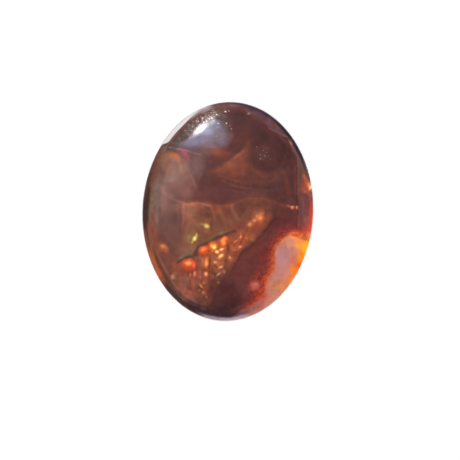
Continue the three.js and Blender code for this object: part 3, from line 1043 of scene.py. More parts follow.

# %% [markdown]
# ## Left side and highlight
#
# A wisp of red and an orange spot lie under the upper left. Above them a grey-blue haze is painted on
# the layer round the highlight, among tiny pale grains: a painted reflection of the highlight's light.

# %% Wisps at the left
WING_STARTS = 1.05
WING_SLIDE = 1.56
wing = region([
    (-3.83, 3.33), (-3.59, 3.54), (-3.23, 3.6), (-2.93, 3.45), (-2.75, 3.03), (-2.51, 2.49),
    (-2.21, 2.07), (-1.97, 1.53), (-2.03, 1.05), (-2.75, 1.17), (-3.35, 1.65), (-3.95, 2.37)], 0.48)
wing *= smooth((y - WING_STARTS) / WING_SLIDE)
lay("#9c7064", 0.75 * wing)
glows([
    ((-3.23, 3.33), (0.42, 0.28), -22, "#cf774c", 1.0),
    ((-2.45, 2.73), (0.3, 0.54), 15, "#967069", 0.75),
    ((-2.93, 3.03), (0.18, 0.24), 28, "#bb755c", 0.9),
    ((-2.75, 2.61), (0.16, 0.36), 28, "#aa7666", 0.8),
    ((-3.89, 3.27), (0.24, 0.36), 20, "#a86e4a", 0.9),
    ((-3.65, 2.67), (0.3, 0.36), 20, "#98624a", 0.8),
    ((-3.89, 2.37), (0.18, 0.24), 10, "#7a5048", 0.7),
    ((-3.83, 3.81), (0.24, 0.24), -30, "#7c665c", 0.9),
    ((-2.87, 3.72), (0.24, 0.16), -20, "#b0706c", 0.8),
    ((-2.6, 3.48), (0.37, 0.26), -45, "#b2545e", 1.0),
    ((-2.39, 3.15), (0.16, 0.27), 25, "#9c5a58", 0.9),
    ((-3.47, 1.89), (0.48, 0.24), 12, "#8f706b", 0.9),
    ((-3.89, 1.47), (0.3, 0.3), 20, "#9c746c", 0.8),
    ((-3.83, 1.17), (0.3, 0.18), -40, "#a0706a", 0.9),
    ((-3.35, 0.93), (0.3, 0.18), -40, "#94605a", 0.8),
    ((-1.91, 2.61), (0.48, 0.72), -5, "#7f5f5b", 0.7),
    ((-1.43, 3.51), (0.78, 0.24), 0, "#805c59", 0.7),
])
lines([
    ([(-3.47, 3.83), (-3.11, 3.75), (-2.75, 3.7), (-2.27, 3.57), (-1.67, 3.42)], 0.07, "#d0aaa6",
     (1.0, 0.3)),
    ([(-2.69, 3.09), (-2.51, 2.55), (-2.21, 2.07), (-1.94, 1.53)], 0.09, "#a87468", (0.6, 0.3)),
    ([(-3.71, 3.69), (-4.01, 3.09), (-4.28, 2.37), (-4.43, 1.65)], 0.13, "#8c5c42", (0.8, 0.6)),
    ([(-3.95, 3.51), (-4.25, 2.85), (-4.46, 2.13)], 0.08, "#5f3c34", (0.6, 0.6)),
    ([(-4.04, 3.09), (-4.13, 2.37), (-4.19, 1.53), (-4.21, 0.69), (-4.16, -0.15)], 0.07, "#8c6c60",
     (0.4, 0.6)),
    ([(-2.99, 0.33), (-2.96, -0.51), (-3.02, -1.47)], 0.13, "#80564c", (0.6, 0.4)),
    ([(-4.07, 0.33), (-4.03, -0.51), (-3.95, -1.47)], 0.1, "#6c4a44", (0.5, 0.6)),
])
# Lighter at the left: a painted veil, the reflection of the soft light at the left.
shade(0.09 * glow((-2.87, 1.41), (1.2, 1.44)))
tell("wisps")

# %% Painted haze and grainy zone at the highlight
# The haze is a painted reflection of the highlight's soft light, laid into the layer's colour.
painted_haze = region([
    (-3.23, 3.93), (-2.63, 4.29), (-2.09, 4.71), (-1.49, 5.13), (-0.95, 5.67), (-0.41, 5.43),
    (-0.11, 4.95), (0.07, 4.41), (-0.11, 3.99), (-0.83, 3.87), (-1.67, 3.81), (-2.51, 3.81)], 0.66)
lay("#80707c", 0.95 * painted_haze)
glows([
    ((-1.25, 4.77), (0.66, 0.36), 14, "#a7a5c2", 0.95),
    ((-1.85, 4.17), (0.78, 0.26), 10, "#8b86a4", 0.9),
    ((-2.15, 4.41), (0.36, 0.18), 36, "#9a9ab2", 0.8),
    ((-1.01, 5.37), (0.38, 0.3), 40, "#b2b8cc", 1.0),
    ((-0.71, 5.07), (0.3, 0.24), 0, "#85829a", 0.8),
    ((-0.53, 4.62), (0.36, 0.17), 10, "#937f80", 0.85),
    ((-0.17, 5.07), (0.24, 0.36), 20, "#6d5f66", 0.6),
    ((-0.41, 4.23), (0.3, 0.18), -5, "#7f6f7c", 0.6),
    ((-1.13, 3.93), (0.54, 0.18), 0, "#8c6b74", 0.8),
    ((-2.39, 4.11), (0.42, 0.2), 12, "#8e86a2", 0.85),
    ((-0.89, 3.63), (0.48, 0.18), -4, "#8b5547", 0.8),
    ((0.13, 5.37), (0.27, 0.48), -12, "#5c403d", 0.7),
    ((0.19, 4.47), (0.24, 0.3), 0, "#7a5650", 0.5),
    ((-0.35, 5.67), (0.3, 0.18), 0, "#74646a", 0.8),
])
# Painted shade: a darker strip along the layer's edge above the haze.
lines([
    ([(-3.47, 4.11), (-3.11, 4.59), (-2.63, 5.07), (-2.15, 5.49), (-1.67, 5.82), (-1.19, 6.09),
      (-0.59, 6.27)], 0.18, "#70504c", (0.9, 0.9)),
])
grainy_path = [
    (-3.23, 3.93), (-2.87, 4.35), (-2.45, 4.77), (-2.03, 5.22),
    (-1.49, 5.64), (-0.95, 5.85), (-0.47, 5.73)]
# Divided by its patchiness, the line becomes an even band.
grainy = np.clip(line(grainy_path, 0.33, (1.0, 0.8)) / patchy, 0, 1)
# The grey ground of the grainy band is painted haze as well.
lay("#5c4d47", 0.9 * grainy)
shade(0.3 * grainy * (cloud(0.16, 13) - 0.5))
tell("painted_haze")

# %% [markdown]
# ## Bands along the outline
#
# Towards the outline the layer turns down and is seen at a slant, so its edge shows as narrow bands
# that follow the outline. Many of them are painted light and shade of the stone's edge: the dark bands
# close to the outline are painted shade, the pale bands at the upper left are painted light through the
# clear rim, the pale band at the bottom is a painted reflection, and the red and orange at the lower
# right are painted light through the thin edge. A band lies at a depth inside the outline and fades at
# its sides and its ends. Angles are in degrees, counted against the clock from the right.

# %% Depth inside the outline
RIM_WOBBLE = 0.06
RIM_WOBBLE_SIZE = 0.4
round_out = np.clip(np.hypot(drawn_x, drawn_y / STRETCH), 1e-9, None)
inside_rim = (DOME_FOOT / round_out - 1) * np.hypot(drawn_x, drawn_y)
inside_rim += RIM_WOBBLE * (cloud(RIM_WOBBLE_SIZE, 14) - 0.5)
outline_turn = np.degrees(np.arctan2(along, across))


def rim_bands(rows):
    """Lays bands along the outline: depth, width, middle angle, reach, colour and strength.

    A band is even across its width and falls steeply beside it. It fades over the outer half of its
    reach, which is an angle to either side of its middle.
    """
    for at, width, turn, reach, colour, strength in rows:
        away = np.abs((outline_turn - turn + 180) % 360 - 180)
        ends = smooth((reach - away) / (0.5 * reach))
        lay(colour, strength * ends * np.exp(-((inside_rim - at) / width) ** 4))

# %% Bands along the outline
rim_bands([
    # Dark rows close to the outline are painted shade. The pale rows at 109 degrees are painted light
    # through the clear rim, the pale row at 268 degrees is a painted reflection, and the rows at -6 and
    # -21 degrees are painted light through the thin edge.
    (0.03, 0.16, 60, 36, "#45303e", 0.95),
    (0.05, 0.15, 46, 20, "#35252e", 0.95),
    (0.00, 0.08, 22, 22, "#574850", 0.8),
    (0.20, 0.09, 109, 13, "#a88c8d", 0.95),
    (0.04, 0.10, 109, 13, "#cdbcbf", 0.95),
    (0.40, 0.12, 106, 22, "#66423e", 0.9),
    (0.33, 0.05, 128, 16, "#8c7074", 0.7),
    (0.52, 0.10, 62, 18, "#6a4a50", 0.5),
    (0.72, 0.28, 174, 26, "#866a60", 0.9),
    (0.45, 0.09, 186, 34, "#86694f", 0.8),
    (0.10, 0.27, 181, 24, "#432f29", 0.95),
    (0.36, 0.14, 200, 16, "#94543e", 0.8),
    (0.03, 0.11, 158, 20, "#5c3a3a", 0.85),
    (0.05, 0.14, 206, 18, "#8c4c38", 0.9),
    (0.62, 0.14, 196, 22, "#8a5040", 0.8),
    (0.14, 0.16, 222, 20, "#b85f3a", 0.85),
    (0.42, 0.10, 226, 26, "#5c382c", 0.6),
    (0.60, 0.09, 232, 24, "#8c6858", 0.6),
    (0.14, 0.17, 244, 22, "#463130", 0.95),
    (0.34, 0.26, 260, 20, "#3b292d", 0.95),
    (0.04, 0.16, 268, 17, "#a99ca6", 0.95),
    (0.06, 0.20, -6, 16, "#d04a3c", 0.95),
    (0.08, 0.20, -21, 9, "#ffb020", 0.6),
])
lines([
    ([(-3.92, 3.63), (-4.19, 3.03), (-4.43, 2.31), (-4.57, 1.53)], 0.17, "#86553c", (0.8, 0.5)),
    ([(-4.07, -3.03), (-3.77, -3.69), (-3.41, -4.29)], 0.1, "#6a3c30", (0.6, 0.7)),
    ([(-3.41, -4.35), (-2.99, -4.83), (-2.51, -5.28), (-1.91, -5.64), (-1.31, -5.91)], 0.08, "#7a5f50",
     (0.5, 0.4)),
    ([(-4.39, 0.21), (-4.37, -0.63), (-4.31, -1.59), (-4.13, -2.43)], 0.12, "#944f3c", (0.4, 0.8)),
])
glows([
    # The spots at the right edge are painted glints.
    ((4.9, 1.65), (0.13, 0.26), -28, "#e8844c", 0.8),
    ((4.99, 1.43), (0.14, 0.22), -30, "#ffe4bc", 1.0),
    ((5.03, 0.99), (0.12, 0.24), 0, "#c0584a", 0.6),
    ((4.75, -1.11), (0.3, 0.36), 0, "#b44e44", 0.9),
    ((4.9, -1.53), (0.14, 0.24), 10, "#dc7c68", 0.8),
])
tell("bands along the outline")

# %% [markdown]
# ## Sides and underside
#
# The photograph shows neither. On a real stone the back is sawn and ground matrix: mottled dull brown,
# with the pale chalcedony coming through at the same place as on top, in a rusty border.

# %% Sides and underside
underside = np.zeros(len(x))
underside[:1 + len(side_points)] = 1
lay("#65443a", underside)
lay("#84604c", 0.8 * underside * smooth(cloud(1.6, 15) * 3 - 1))
lay("#4a302b", 0.7 * underside * smooth(cloud(1.1, 16) * 3 - 1.2))
lay("#8a4a34", 0.8 * underside * np.exp(-(outside / 0.48) ** 2))
lay("#b08a78", 0.85 * underside * pale)
fire *= 1 - underside
tell("sides and underside")

# %% [markdown]
# ## The fire layer as a solid
#
# The drawn relief lifts the layer a few hundredths of a millimetre under its bubbles and ridges. The
# clear cap is thickest over the middle and thins to the edge, as it does on a real stone, where layer
# and dome follow each other. The relief fades out at the edge, so that the top meets the sides evenly.
# The top, the sides and the underside together are one closed solid.

# %% Mesh of the layer
CAP_DEPTH = 0.9
EDGE_DEPTH = 0.22
DEPTH_POWER = 0.8
FLAT_AT_EDGE = 1 / 8

grid_start = 1 + len(side_points)
inward = 1 - np.clip(disc_x**2 + disc_y**2, 0, 1)
depth = EDGE_DEPTH + (CAP_DEPTH - EDGE_DEPTH) * inward**DEPTH_POWER
depth -= relief[grid_start:] * smooth(inward / FLAT_AT_EDGE)
top_points = under_the_dome(seen_x, seen_y, depth)
layer_points = np.vstack([[[0, 0, UNDERSIDE_HEIGHT]], side_points, top_points])


def layer_piece():
    """The whole layer: underside, sides and top, sharing the points where they meet."""
    side_loops = 1 + np.arange(len(side_points)).reshape(-1, len(grid_edge))
    loops = np.vstack([side_loops, grid_start + grid_edge])
    squares = grid_start + grid_numbers
    top = np.stack([squares[:-1, :-1], squares[:-1, 1:], squares[1:, 1:], squares[1:, :-1]], -1)
    faces = fan_faces(0, loops[0][::-1]) + band_faces(loops) + top.reshape(-1, 4).tolist()
    return put_mesh("fire_layer", layer_points, faces)


layer = layer_piece()
print("fire layer:", len(layer.data.polygons), "faces, top at", f"{layer_points[:, 2].max():.2f} mm")

# %% [markdown]
# ## What the polish mirrors
#
# A polished dome is a small round mirror as well as a window. It mirrors about one twentieth of the
# studio: a dim sky that is brighter at the upper left, soft lights whose reflections are the haze round
# the highlight and the veil at the left, and close to its rim the table. A soft light is placed by
# where its reflection shows on the stone. Its strength fades with the angle from its middle. Each row
# has that place, a colour, a strength and how fast it fades.

# %% Soft lights and the mirror
SKY_DARK_SIDE = 0.12
SKY_LIGHT_SIDE = 0.62
LIGHT_SIDE = np.array([-0.6, 0.8, 0.0])
HORIZON_FADE = 0.15
SOFT_LIGHTS = [
    ((-1.31, 5.13), "#e8ecff", 6.5, 110.0),
    ((-1.43, 4.65), "#cfd4f4", 2.2, 30.0),
    ((-3.47, 1.89), "#ffdccb", 1.5, 9.0),
]
TABLE_SEEN = 0.26
GLANCING_POWER = 5


def to_stone(x, y):
    """From the photograph's axes to the stone's own."""
    return x * math.cos(LEAN) - y * math.sin(LEAN), x * math.sin(LEAN) + y * math.cos(LEAN)


def mirrored_from(x, y):
    """For places given in the stone's axes: the dome's normal, and the direction it mirrors upwards.

    That direction is the normal times twice its own upward part, less one straight up.
    """
    out = np.clip(np.hypot(x, y / STRETCH), 1e-9, DOME_FOOT)
    drop = np.sqrt(ARC_RADIUS**2 - out**2)
    normal = np.stack([x / drop, y / drop / STRETCH**2, np.ones_like(out)], -1)
    normal /= np.linalg.norm(normal, axis=-1, keepdims=True)
    return normal, 2 * normal[..., 2:] * normal - (0, 0, 1)


def mirrored_at(place):
    """The direction whose light shows as a reflection at this place of the drawing."""
    return mirrored_from(*(np.array(value) for value in to_stone(*place)))[1]


def polish_mirrors(x, y):
    """The light that the polish adds at each place: mirrored share times what lies that way.

    The share is small where the dome is seen squarely and grows steeply where it is seen at a slant.
    """
    normal, towards = mirrored_from(x, y)
    share = ((CHALCEDONY_INDEX - 1) / (CHALCEDONY_INDEX + 1)) ** 2
    share += (1 - share) * (1 - normal[:, 2:]) ** GLANCING_POWER
    sideways = 0.5 + 0.5 * towards @ LIGHT_SIDE
    sky = (SKY_DARK_SIDE + (SKY_LIGHT_SIDE - SKY_DARK_SIDE) * sideways)[:, None]
    above = smooth(towards[:, 2:] / HORIZON_FADE)
    for place, colour, strength, spread in SOFT_LIGHTS:
        fading = np.exp(spread * (towards @ mirrored_at(place) - 1))[:, None]
        sky = sky + strength * above * fading * linear(screen_colour(colour))
    return share * np.where(towards[:, 2:] > 0, sky, TABLE_SEEN)


print("light that the polish adds at the middle:", polish_mirrors(np.zeros(1), np.zeros(1)).round(4))

# %% [markdown]
# ## Bright specks
#
# Under the polish near the highlight, and in the dark eye, lie tiny grains with a painted sparkle: each
# glows by itself. Each is a grain with eight small faces. The largest are placed one by one as they show
# in the stone, and the fine ones are scattered along the grainy zone and beside the highlight by a
# seeded throw of dice. How strongly a grain's painted sparkle glows falls off with its distance from the
# highlight.

# %% Places of the specks
FINE_SPECKS = 260
FINE_SPREAD = 0.2
BRIGHT_SPECKS = 80
BRIGHT_SPREAD = 0.12
THICKENING = 0.6
BRIGHT_PATH = [(-1.79, 5.16), (-1.49, 5.4), (-1.19, 5.52), (-0.83, 5.61)]
LARGE_SPECKS = [
    ((-0.14, 5.97), 0.07), ((0.07, 6.0), 0.04), ((-0.68, 5.77), 0.05), ((-0.95, 5.58), 0.06),
    ((-1.11, 5.53), 0.05), ((-1.29, 5.39), 0.05), ((-1.49, 5.58), 0.05), ((-1.44, 5.32), 0.05),
    ((-0.83, 5.4), 0.04), ((-0.08, 5.26), 0.05), ((-0.57, 5.25), 0.05), ((-0.59, 5.04), 0.03),
    ((0.21, 4.92), 0.04), ((0.13, 5.1), 0.03), ((0.19, 6.36), 0.03), ((-2.18, 4.84), 0.04),
    ((-2.58, 4.83), 0.04), ((-2.37, 4.6), 0.04), ((-2.27, 4.38), 0.03), ((-0.68, 4.48), 0.03),
    ((-2.87, 4.32), 0.04), ((-3.29, 4.08), 0.04), ((2.2, 3.3), 0.04), ((1.93, 3.12), 0.04),
    ((2.53, 3.12), 0.03), ((2.11, 3.63), 0.03), ((1.93, 3.36), 0.03), ((2.32, 3.51), 0.03),
    ((2.11, 3.11), 0.02), ((2.41, 3.3), 0.03), ((2.33, 3.75), 0.02), ((1.72, 3.84), 0.03),
    ((-3.74, -1.26), 0.03), ((-3.65, 2.19), 0.02), ((-1.07, 2.94), 0.02), ((0.16, 2.1), 0.02),
    ((0.64, -5.7), 0.03), ((1.27, 5.88), 0.02), ((3.28, 1.29), 0.02), ((-1.61, 2.19), 0.02),
]


def scattered(dice, points, count, spread):
    """Places thrown along a curve, thicker towards its end."""
    path = curve(points)
    step = ((len(path) - 1) * dice.random(count) ** THICKENING).astype(int)
    share = dice.random((count, 1))
    return path[step] * (1 - share) + path[step + 1] * share + dice.normal(0, spread, (count, 2))


dice = np.random.default_rng(21)
speck_at = np.vstack([
    [place for place, radius in LARGE_SPECKS],
    scattered(dice, grainy_path, FINE_SPECKS, FINE_SPREAD),
    scattered(dice, BRIGHT_PATH, BRIGHT_SPECKS, BRIGHT_SPREAD)])
print("bright specks:", len(speck_at))

# %% Size and sparkle of the specks
SMALLEST_SPECK = 0.014
FINE_SPECKS_DIFFER = 0.024
BRIGHTEST_AT = (-1.37, 5.37)
SPARKLE_REACH = 1.4
LEAST_SPARKLE = 0.25
LARGE_SPARKLE = 1.5
DULLEST = 0.2

large = np.arange(len(speck_at)) < len(LARGE_SPECKS)
speck_radius = SMALLEST_SPECK + FINE_SPECKS_DIFFER * dice.random(len(speck_at)) ** 2
speck_radius[large] = [radius for place, radius in LARGE_SPECKS]
from_brightest = np.linalg.norm(speck_at - BRIGHTEST_AT, axis=1)
# Painted sparkle: how strongly each grain glows by itself, falling off from the highlight.
painted_sparkle = LEAST_SPARKLE + np.exp(-(from_brightest / SPARKLE_REACH) ** 2)
painted_sparkle[~large] *= DULLEST + (1 - DULLEST) * dice.random((~large).sum())
painted_sparkle[large] *= LARGE_SPARKLE
print(f"sparkle from {painted_sparkle.min():.2f} to {painted_sparkle.max():.2f}")

# %% Mesh of the specks
SPECK_DEPTH = 0.07
SPECK_CORNERS = np.array([(1, 0, 0), (0, 1, 0), (-1, 0, 0), (0, -1, 0), (0, 0, 0.5), (0, 0, -0.5)])
SPECK_SIDES = np.array([
    (0, 1, 4), (1, 2, 4), (2, 3, 4), (3, 0, 4), (1, 0, 5), (2, 1, 5), (3, 2, 5), (0, 3, 5)])
UNEVENNESS = 0.4


def speck_piece():
    """Every speck is a squashed double pyramid: six points and eight faces round its middle."""
    count = len(speck_at)
    middles = under_the_dome(*to_stone(speck_at[:, 0], speck_at[:, 1]), np.full(count, SPECK_DEPTH))
    uneven = 1 + UNEVENNESS * (dice.random((count, len(SPECK_CORNERS), 1)) - 0.5)
    points = middles[:, None] + speck_radius[:, None, None] * SPECK_CORNERS * uneven
    faces = len(SPECK_CORNERS) * np.arange(count)[:, None, None] + SPECK_SIDES
    return put_mesh("bright_specks", points.reshape(-1, 3), faces.reshape(-1, 3).tolist())


specks = speck_piece()
print("faces of the specks:", len(specks.data.polygons))

# %% [markdown]
# ## Colours of the layer at its points
#
# The drawing says what the eye should see. The polish adds its mirror image on top, so that is taken
# away first, but never more than a share of the colour, or the layer would look black from other sides.
# The cap lets only part of the light out again and sends the rest back down, where the layer reflects
# it once more, so the layer's own colour has to be lighter and purer than it looks. The light that
# reaches the layer is divided out as well, so the own colour is painted lighter where less light falls,
# towards the right and the bottom.
# Where even the purest colour is too dim, the rest is added as a painted glow, an emission that stands
# in for light. In the bubbles it stands for what the thin films send back, in the pale patch for light
# that has come through the stone, and it also lights the haze round the highlight and the rim. The
# three rows of numbers for the light were measured once, on a grey layer.

# %% Colour and strength attributes
LIGHT_AT_MIDDLE = np.array([0.218, 0.194, 0.187])
FALLS_TO_RIGHT = np.array([0.093, 0.089, 0.089])
RISES_UPWARDS = np.array([0.071, 0.073, 0.078])
CAP_RETURNS = 0.2
PUREST = 0.95
GLOW_PASSES = 0.8
LEAST_OWN = 0.35


def own_and_glow(seen):
    """The layer's own colour and the glow it needs on top, for this screen colour to show.

    What leaves is the light times the own colour, over 1 less what the cap returns of that colour.
    """
    falls = FALLS_TO_RIGHT * across[:, None]
    light = LIGHT_AT_MIDDLE * np.exp(RISES_UPWARDS * along[:, None] - falls)
    seen = linear(seen)
    wanted = np.maximum(seen - polish_mirrors(drawn_x, drawn_y), LEAST_OWN * seen)
    own = np.clip(wanted / (light + CAP_RETURNS * wanted), 0, PUREST)
    short = wanted - light * own / (1 - CAP_RETURNS * own)
    return own, np.clip(short, 0, None) / GLOW_PASSES


def keep_at_points(piece, name, values):
    """Stores a strength for each point of a piece, for its material to read."""
    kept = piece.data.attributes.new(name, "FLOAT", "POINT")
    kept.data.foreach_set("value", values.astype(np.float32))


def keep_colours(piece, name, colours):
    """Stores a colour for each point of a piece."""
    rows = np.hstack([colours, np.ones((len(colours), 1))]).astype(np.float32)
    kept = piece.data.color_attributes.new(name, "FLOAT_COLOR", "POINT")
    kept.data.foreach_set("color", rows.ravel())


own, shortfall = own_and_glow(look)
keep_colours(layer, "stain", own)
# Painted glow: emission that stands in for light where even the purest own colour is too dim.
keep_colours(layer, "painted_glow", shortfall)
keep_at_points(layer, "fire", np.clip(fire, 0, 1))
keep_at_points(layer, "rust", np.clip(rust, 0, 1))
keep_at_points(specks, "painted_sparkle", np.repeat(painted_sparkle, len(SPECK_CORNERS)))
print("mean own colour of the layer, in linear light:", own.mean(axis=0).round(3))
print(f"share of the layer that needs a glow: {(shortfall.max(axis=1) > 0.01).mean():.1%}")

# %% [markdown]
# ## Materials
#
# Each material starts from what the real one is. A small function adds a node, sets its values and
# links its inputs, whatever kind of node it is. Colours are given as screen hex codes and turned to
# linear light. The size of each pattern is worked out from a real size: Blender's noise repeats about
# once for each unit of its scale, so a grain of 0.2 mm needs a scale of one over 0.0002 m.

# %% Node helper
def add(tree, kind, inputs=None, **settings):
    """Adds a node with these settings. An input is given a value, or a socket to be linked from."""
    node = tree.nodes.new(kind)
    for name, value in settings.items():
        setattr(node, name, value)
    for name, value in (inputs or {}).items():
        if isinstance(value, bpy.types.NodeSocket):
            tree.links.new(value, node.inputs[name])
        else:
            node.inputs[name].default_value = value
    return node


def light_of(code):
    """Red, green, blue and alpha in linear light from a hex code."""
    return (*linear(screen_colour(code)).tolist(), 1.0)


def empty_material(name):
    """A new material with nothing but its output node."""
    material = bpy.data.materials.new(name)
    material.use_nodes = True
    material.node_tree.nodes.clear()
    return material, material.node_tree, material.node_tree.nodes.new("ShaderNodeOutputMaterial")


def grain(millimetres):
    """The scale of a pattern in object coordinates whose grains are this size."""
    return 1 / (millimetres * MM)

# %% [markdown]
# ### Polished chalcedony
#
# Chalcedony is quartz in fibres too fine to see. Polished on felt it shines like glass, and a few
# millimetres of it tint the light a warm brown. The tint is plain absorption inside the body, so thin
# edges stay nearly clear and thick parts turn brown.

# %% Polished chalcedony
POLISH_ROUGHNESS = 0.02
TINT_DENSITY = 150.0
TINT = (0.66, 0.4, 0.25, 1.0)


def polished_chalcedony():
    """Clear, warm brown and very smooth."""
    material, tree, output = empty_material("polished_chalcedony")
    shine = add(tree, "ShaderNodeBsdfPrincipled", {
        "Base Color": (1, 1, 1, 1), "Roughness": POLISH_ROUGHNESS,
        "IOR": CHALCEDONY_INDEX, "Transmission Weight": 1.0})
    tint = add(tree, "ShaderNodeVolumeAbsorption", {"Color": TINT, "Density": TINT_DENSITY})
    tree.links.new(shine.outputs["BSDF"], output.inputs["Surface"])
    tree.links.new(tint.outputs["Volume"], output.inputs["Volume"])
    return material


body.data.materials.append(polished_chalcedony())
through = np.exp(-(1 - np.array(TINT[:3])) * TINT_DENSITY * HEIGHT * MM)
print(f"light that passes {HEIGHT:.0f} mm of chalcedony:", through.round(2))

# %% [markdown]
# ### Iron-stained fire layer
#
# The layer is chalcedony full of limonite and goethite, brown to rust red, with a satin gleam where
# its bubbles split the light. Its drawing is read from the points, and its painted glow, which stands
# in for light, goes out as emission. Fine mottling of 0.4 mm keeps the brown from looking flat, and the
# rusty parts are made of grains of 0.16 mm.

# %% Iron-stained fire layer
MOTTLE_SIZE = 0.4
MOTTLE_STRENGTH = 0.2
MOTTLE_BUMPS = 0.2
BUMP_HEIGHT = 0.02
RUST_GRAIN_SIZE = 0.16
RUST_STRENGTH = 0.3
AGATE_ROUGHNESS = 0.5
FILM_ROUGHNESS = 0.3
FILM_MIRRORS = 0.35


def fire_layer():
    """Brown agate with its drawn stain, mottling, rusty grains, gleaming bubbles and painted glow."""
    material, tree, output = empty_material("iron_stained_fire_layer")
    place = add(tree, "ShaderNodeTexCoord").outputs["Object"]
    stain = add(tree, "ShaderNodeAttribute", attribute_name="stain").outputs["Color"]
    painted_glow = add(tree, "ShaderNodeAttribute", attribute_name="painted_glow").outputs["Color"]
    fire = add(tree, "ShaderNodeAttribute", attribute_name="fire").outputs["Fac"]
    rust = add(tree, "ShaderNodeAttribute", attribute_name="rust").outputs["Fac"]
    mottle = add(tree, "ShaderNodeTexNoise", {
        "Vector": place, "Scale": grain(MOTTLE_SIZE), "Detail": 4.0, "Roughness": 0.65})
    brightness = add(tree, "ShaderNodeMapRange", {
        "Value": mottle.outputs["Fac"], "From Min": 0.3, "From Max": 0.7,
        "To Min": 1 - MOTTLE_STRENGTH, "To Max": 1 + MOTTLE_STRENGTH})
    cells = add(tree, "ShaderNodeTexVoronoi", {"Vector": place, "Scale": grain(RUST_GRAIN_SIZE)})
    grains = add(tree, "ShaderNodeMapRange", {
        "Value": cells.outputs["Distance"], "From Min": 0.1, "From Max": 0.7,
        "To Min": RUST_STRENGTH, "To Max": -RUST_STRENGTH})
    more = add(tree, "ShaderNodeMath", {0: grains.outputs["Result"], 1: rust, 2: 1.0},
               operation="MULTIPLY_ADD")
    both = add(tree, "ShaderNodeMath", {0: brightness.outputs["Result"], 1: more.outputs["Value"]},
               operation="MULTIPLY").outputs["Value"]
    mottled = add(tree, "ShaderNodeVectorMath", {0: stain, "Scale": both}, operation="SCALE")
    shining = add(tree, "ShaderNodeVectorMath", {0: painted_glow, "Scale": both}, operation="SCALE")
    roughness = add(tree, "ShaderNodeMapRange", {
        "Value": fire, "To Min": AGATE_ROUGHNESS, "To Max": FILM_ROUGHNESS})
    bumps = add(tree, "ShaderNodeBump", {
        "Height": mottle.outputs["Fac"], "Strength": MOTTLE_BUMPS, "Distance": BUMP_HEIGHT * MM})
    gleam = add(tree, "ShaderNodeMath", {0: fire, 1: FILM_MIRRORS}, operation="MULTIPLY")
    # The emission is the painted glow.
    surface = add(tree, "ShaderNodeBsdfPrincipled", {
        "Base Color": mottled.outputs["Vector"], "Roughness": roughness.outputs["Result"],
        "Metallic": gleam.outputs["Value"], "Normal": bumps.outputs["Normal"], "Specular IOR Level": 0.1,
        "Emission Color": shining.outputs["Vector"], "Emission Strength": 1.0})
    tree.links.new(surface.outputs["BSDF"], output.inputs["Surface"])
    return material


layer.data.materials.append(fire_layer())
print(f"scales of mottling and rusty grains: {grain(MOTTLE_SIZE):.0f} and {grain(RUST_GRAIN_SIZE):.0f}")

# %% [markdown]
# ### Sparkling inclusions
#
# The specks are small crystal faces, dull under even light. Their sparkle is painted: each glows by
# itself, the ones near the highlight brighter than anything lit evenly. How much each one sparkles is
# kept at its points.

# %% Sparkling inclusions
INCLUSION_ROUGHNESS = 0.3


def sparkling_inclusions():
    """Dull crystal grains with a painted sparkle: a glow as strong as their points say."""
    material, tree, output = empty_material("sparkling_inclusions")
    painted_sparkles = add(tree, "ShaderNodeAttribute", attribute_name="painted_sparkle").outputs["Fac"]
    surface = add(tree, "ShaderNodeBsdfPrincipled", {
        "Base Color": light_of("#8c7a70"), "Roughness": INCLUSION_ROUGHNESS,
        "Emission Color": light_of("#fff0e6"), "Emission Strength": painted_sparkles})
    tree.links.new(surface.outputs["BSDF"], output.inputs["Surface"])
    return material


specks.data.materials.append(sparkling_inclusions())
print("materials:", [piece.data.materials[0].name for piece in (body, layer, specks)])

# %% [markdown]
# ## The pieces and the frame
#
# The polished body stands for the solid of the CAD model, and the layer rides inside it.

# %% Frame
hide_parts("cabochon")
for piece in (body, layer, specks):
    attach(piece, "root")
print("pieces on the root body:", [piece.name for piece in (body, layer, specks)])

# %% [markdown]
# ## Table, light and camera
#
# The photograph looks straight down at the stone on a ground so bright that it is pure white. The
# ground here is a pale table that glows straight up, as a light panel with fine louvres does, so that it
# lights the clear rim of the stone from below and isn't mirrored at a slant. It lies a hair under the
# stone, because two surfaces in the same place would flicker. The sky is dim, so that the dome doesn't
# shine where the real one is dark, and the soft lights stand in it.

# %% Table
TABLE_DROP = 0.03
TABLE_SIZE = 3000.0
PANEL_COLOUR = "#aaa9a7"
PANEL_ROUGHNESS = 0.9
PANEL_LIGHT = 0.9
FULL_WITHIN = 45.0
NONE_BEYOND = 60.0


def table_piece():
    """A flat square far larger than the view."""
    corners = np.array([(-1, -1), (1, -1), (1, 1), (-1, 1)]) * TABLE_SIZE / 2
    points = np.hstack([corners, np.full((4, 1), -TABLE_DROP)])
    return put_mesh("table", points, [[0, 1, 2, 3]])


def light_panel():
    """A matt pale panel lit from below, with fine louvres that keep its light to steep angles.

    "Facing" gives 1 less the cosine of a ray's angle to upright, so the two limits are given so too.
    """
    material, tree, output = empty_material("light_panel")
    facing = add(tree, "ShaderNodeLayerWeight", {"Blend": 0.5}).outputs["Facing"]
    strength = add(tree, "ShaderNodeMapRange", {
        "Value": facing, "From Min": 1 - math.cos(math.radians(FULL_WITHIN)),
        "From Max": 1 - math.cos(math.radians(NONE_BEYOND)), "To Min": PANEL_LIGHT, "To Max": 0.0},
        interpolation_type="SMOOTHSTEP").outputs["Result"]
    board = add(tree, "ShaderNodeBsdfPrincipled", {
        "Base Color": light_of(PANEL_COLOUR), "Roughness": PANEL_ROUGHNESS, "Specular IOR Level": 0.1,
        "Emission Color": (1, 1, 1, 1), "Emission Strength": strength})
    tree.links.new(board.outputs["BSDF"], output.inputs["Surface"])
    return material


table = table_piece()
table.data.materials.append(light_panel())
print(f"light panel: full within {FULL_WITHIN:.0f} degrees of upright, none beyond {NONE_BEYOND:.0f}")

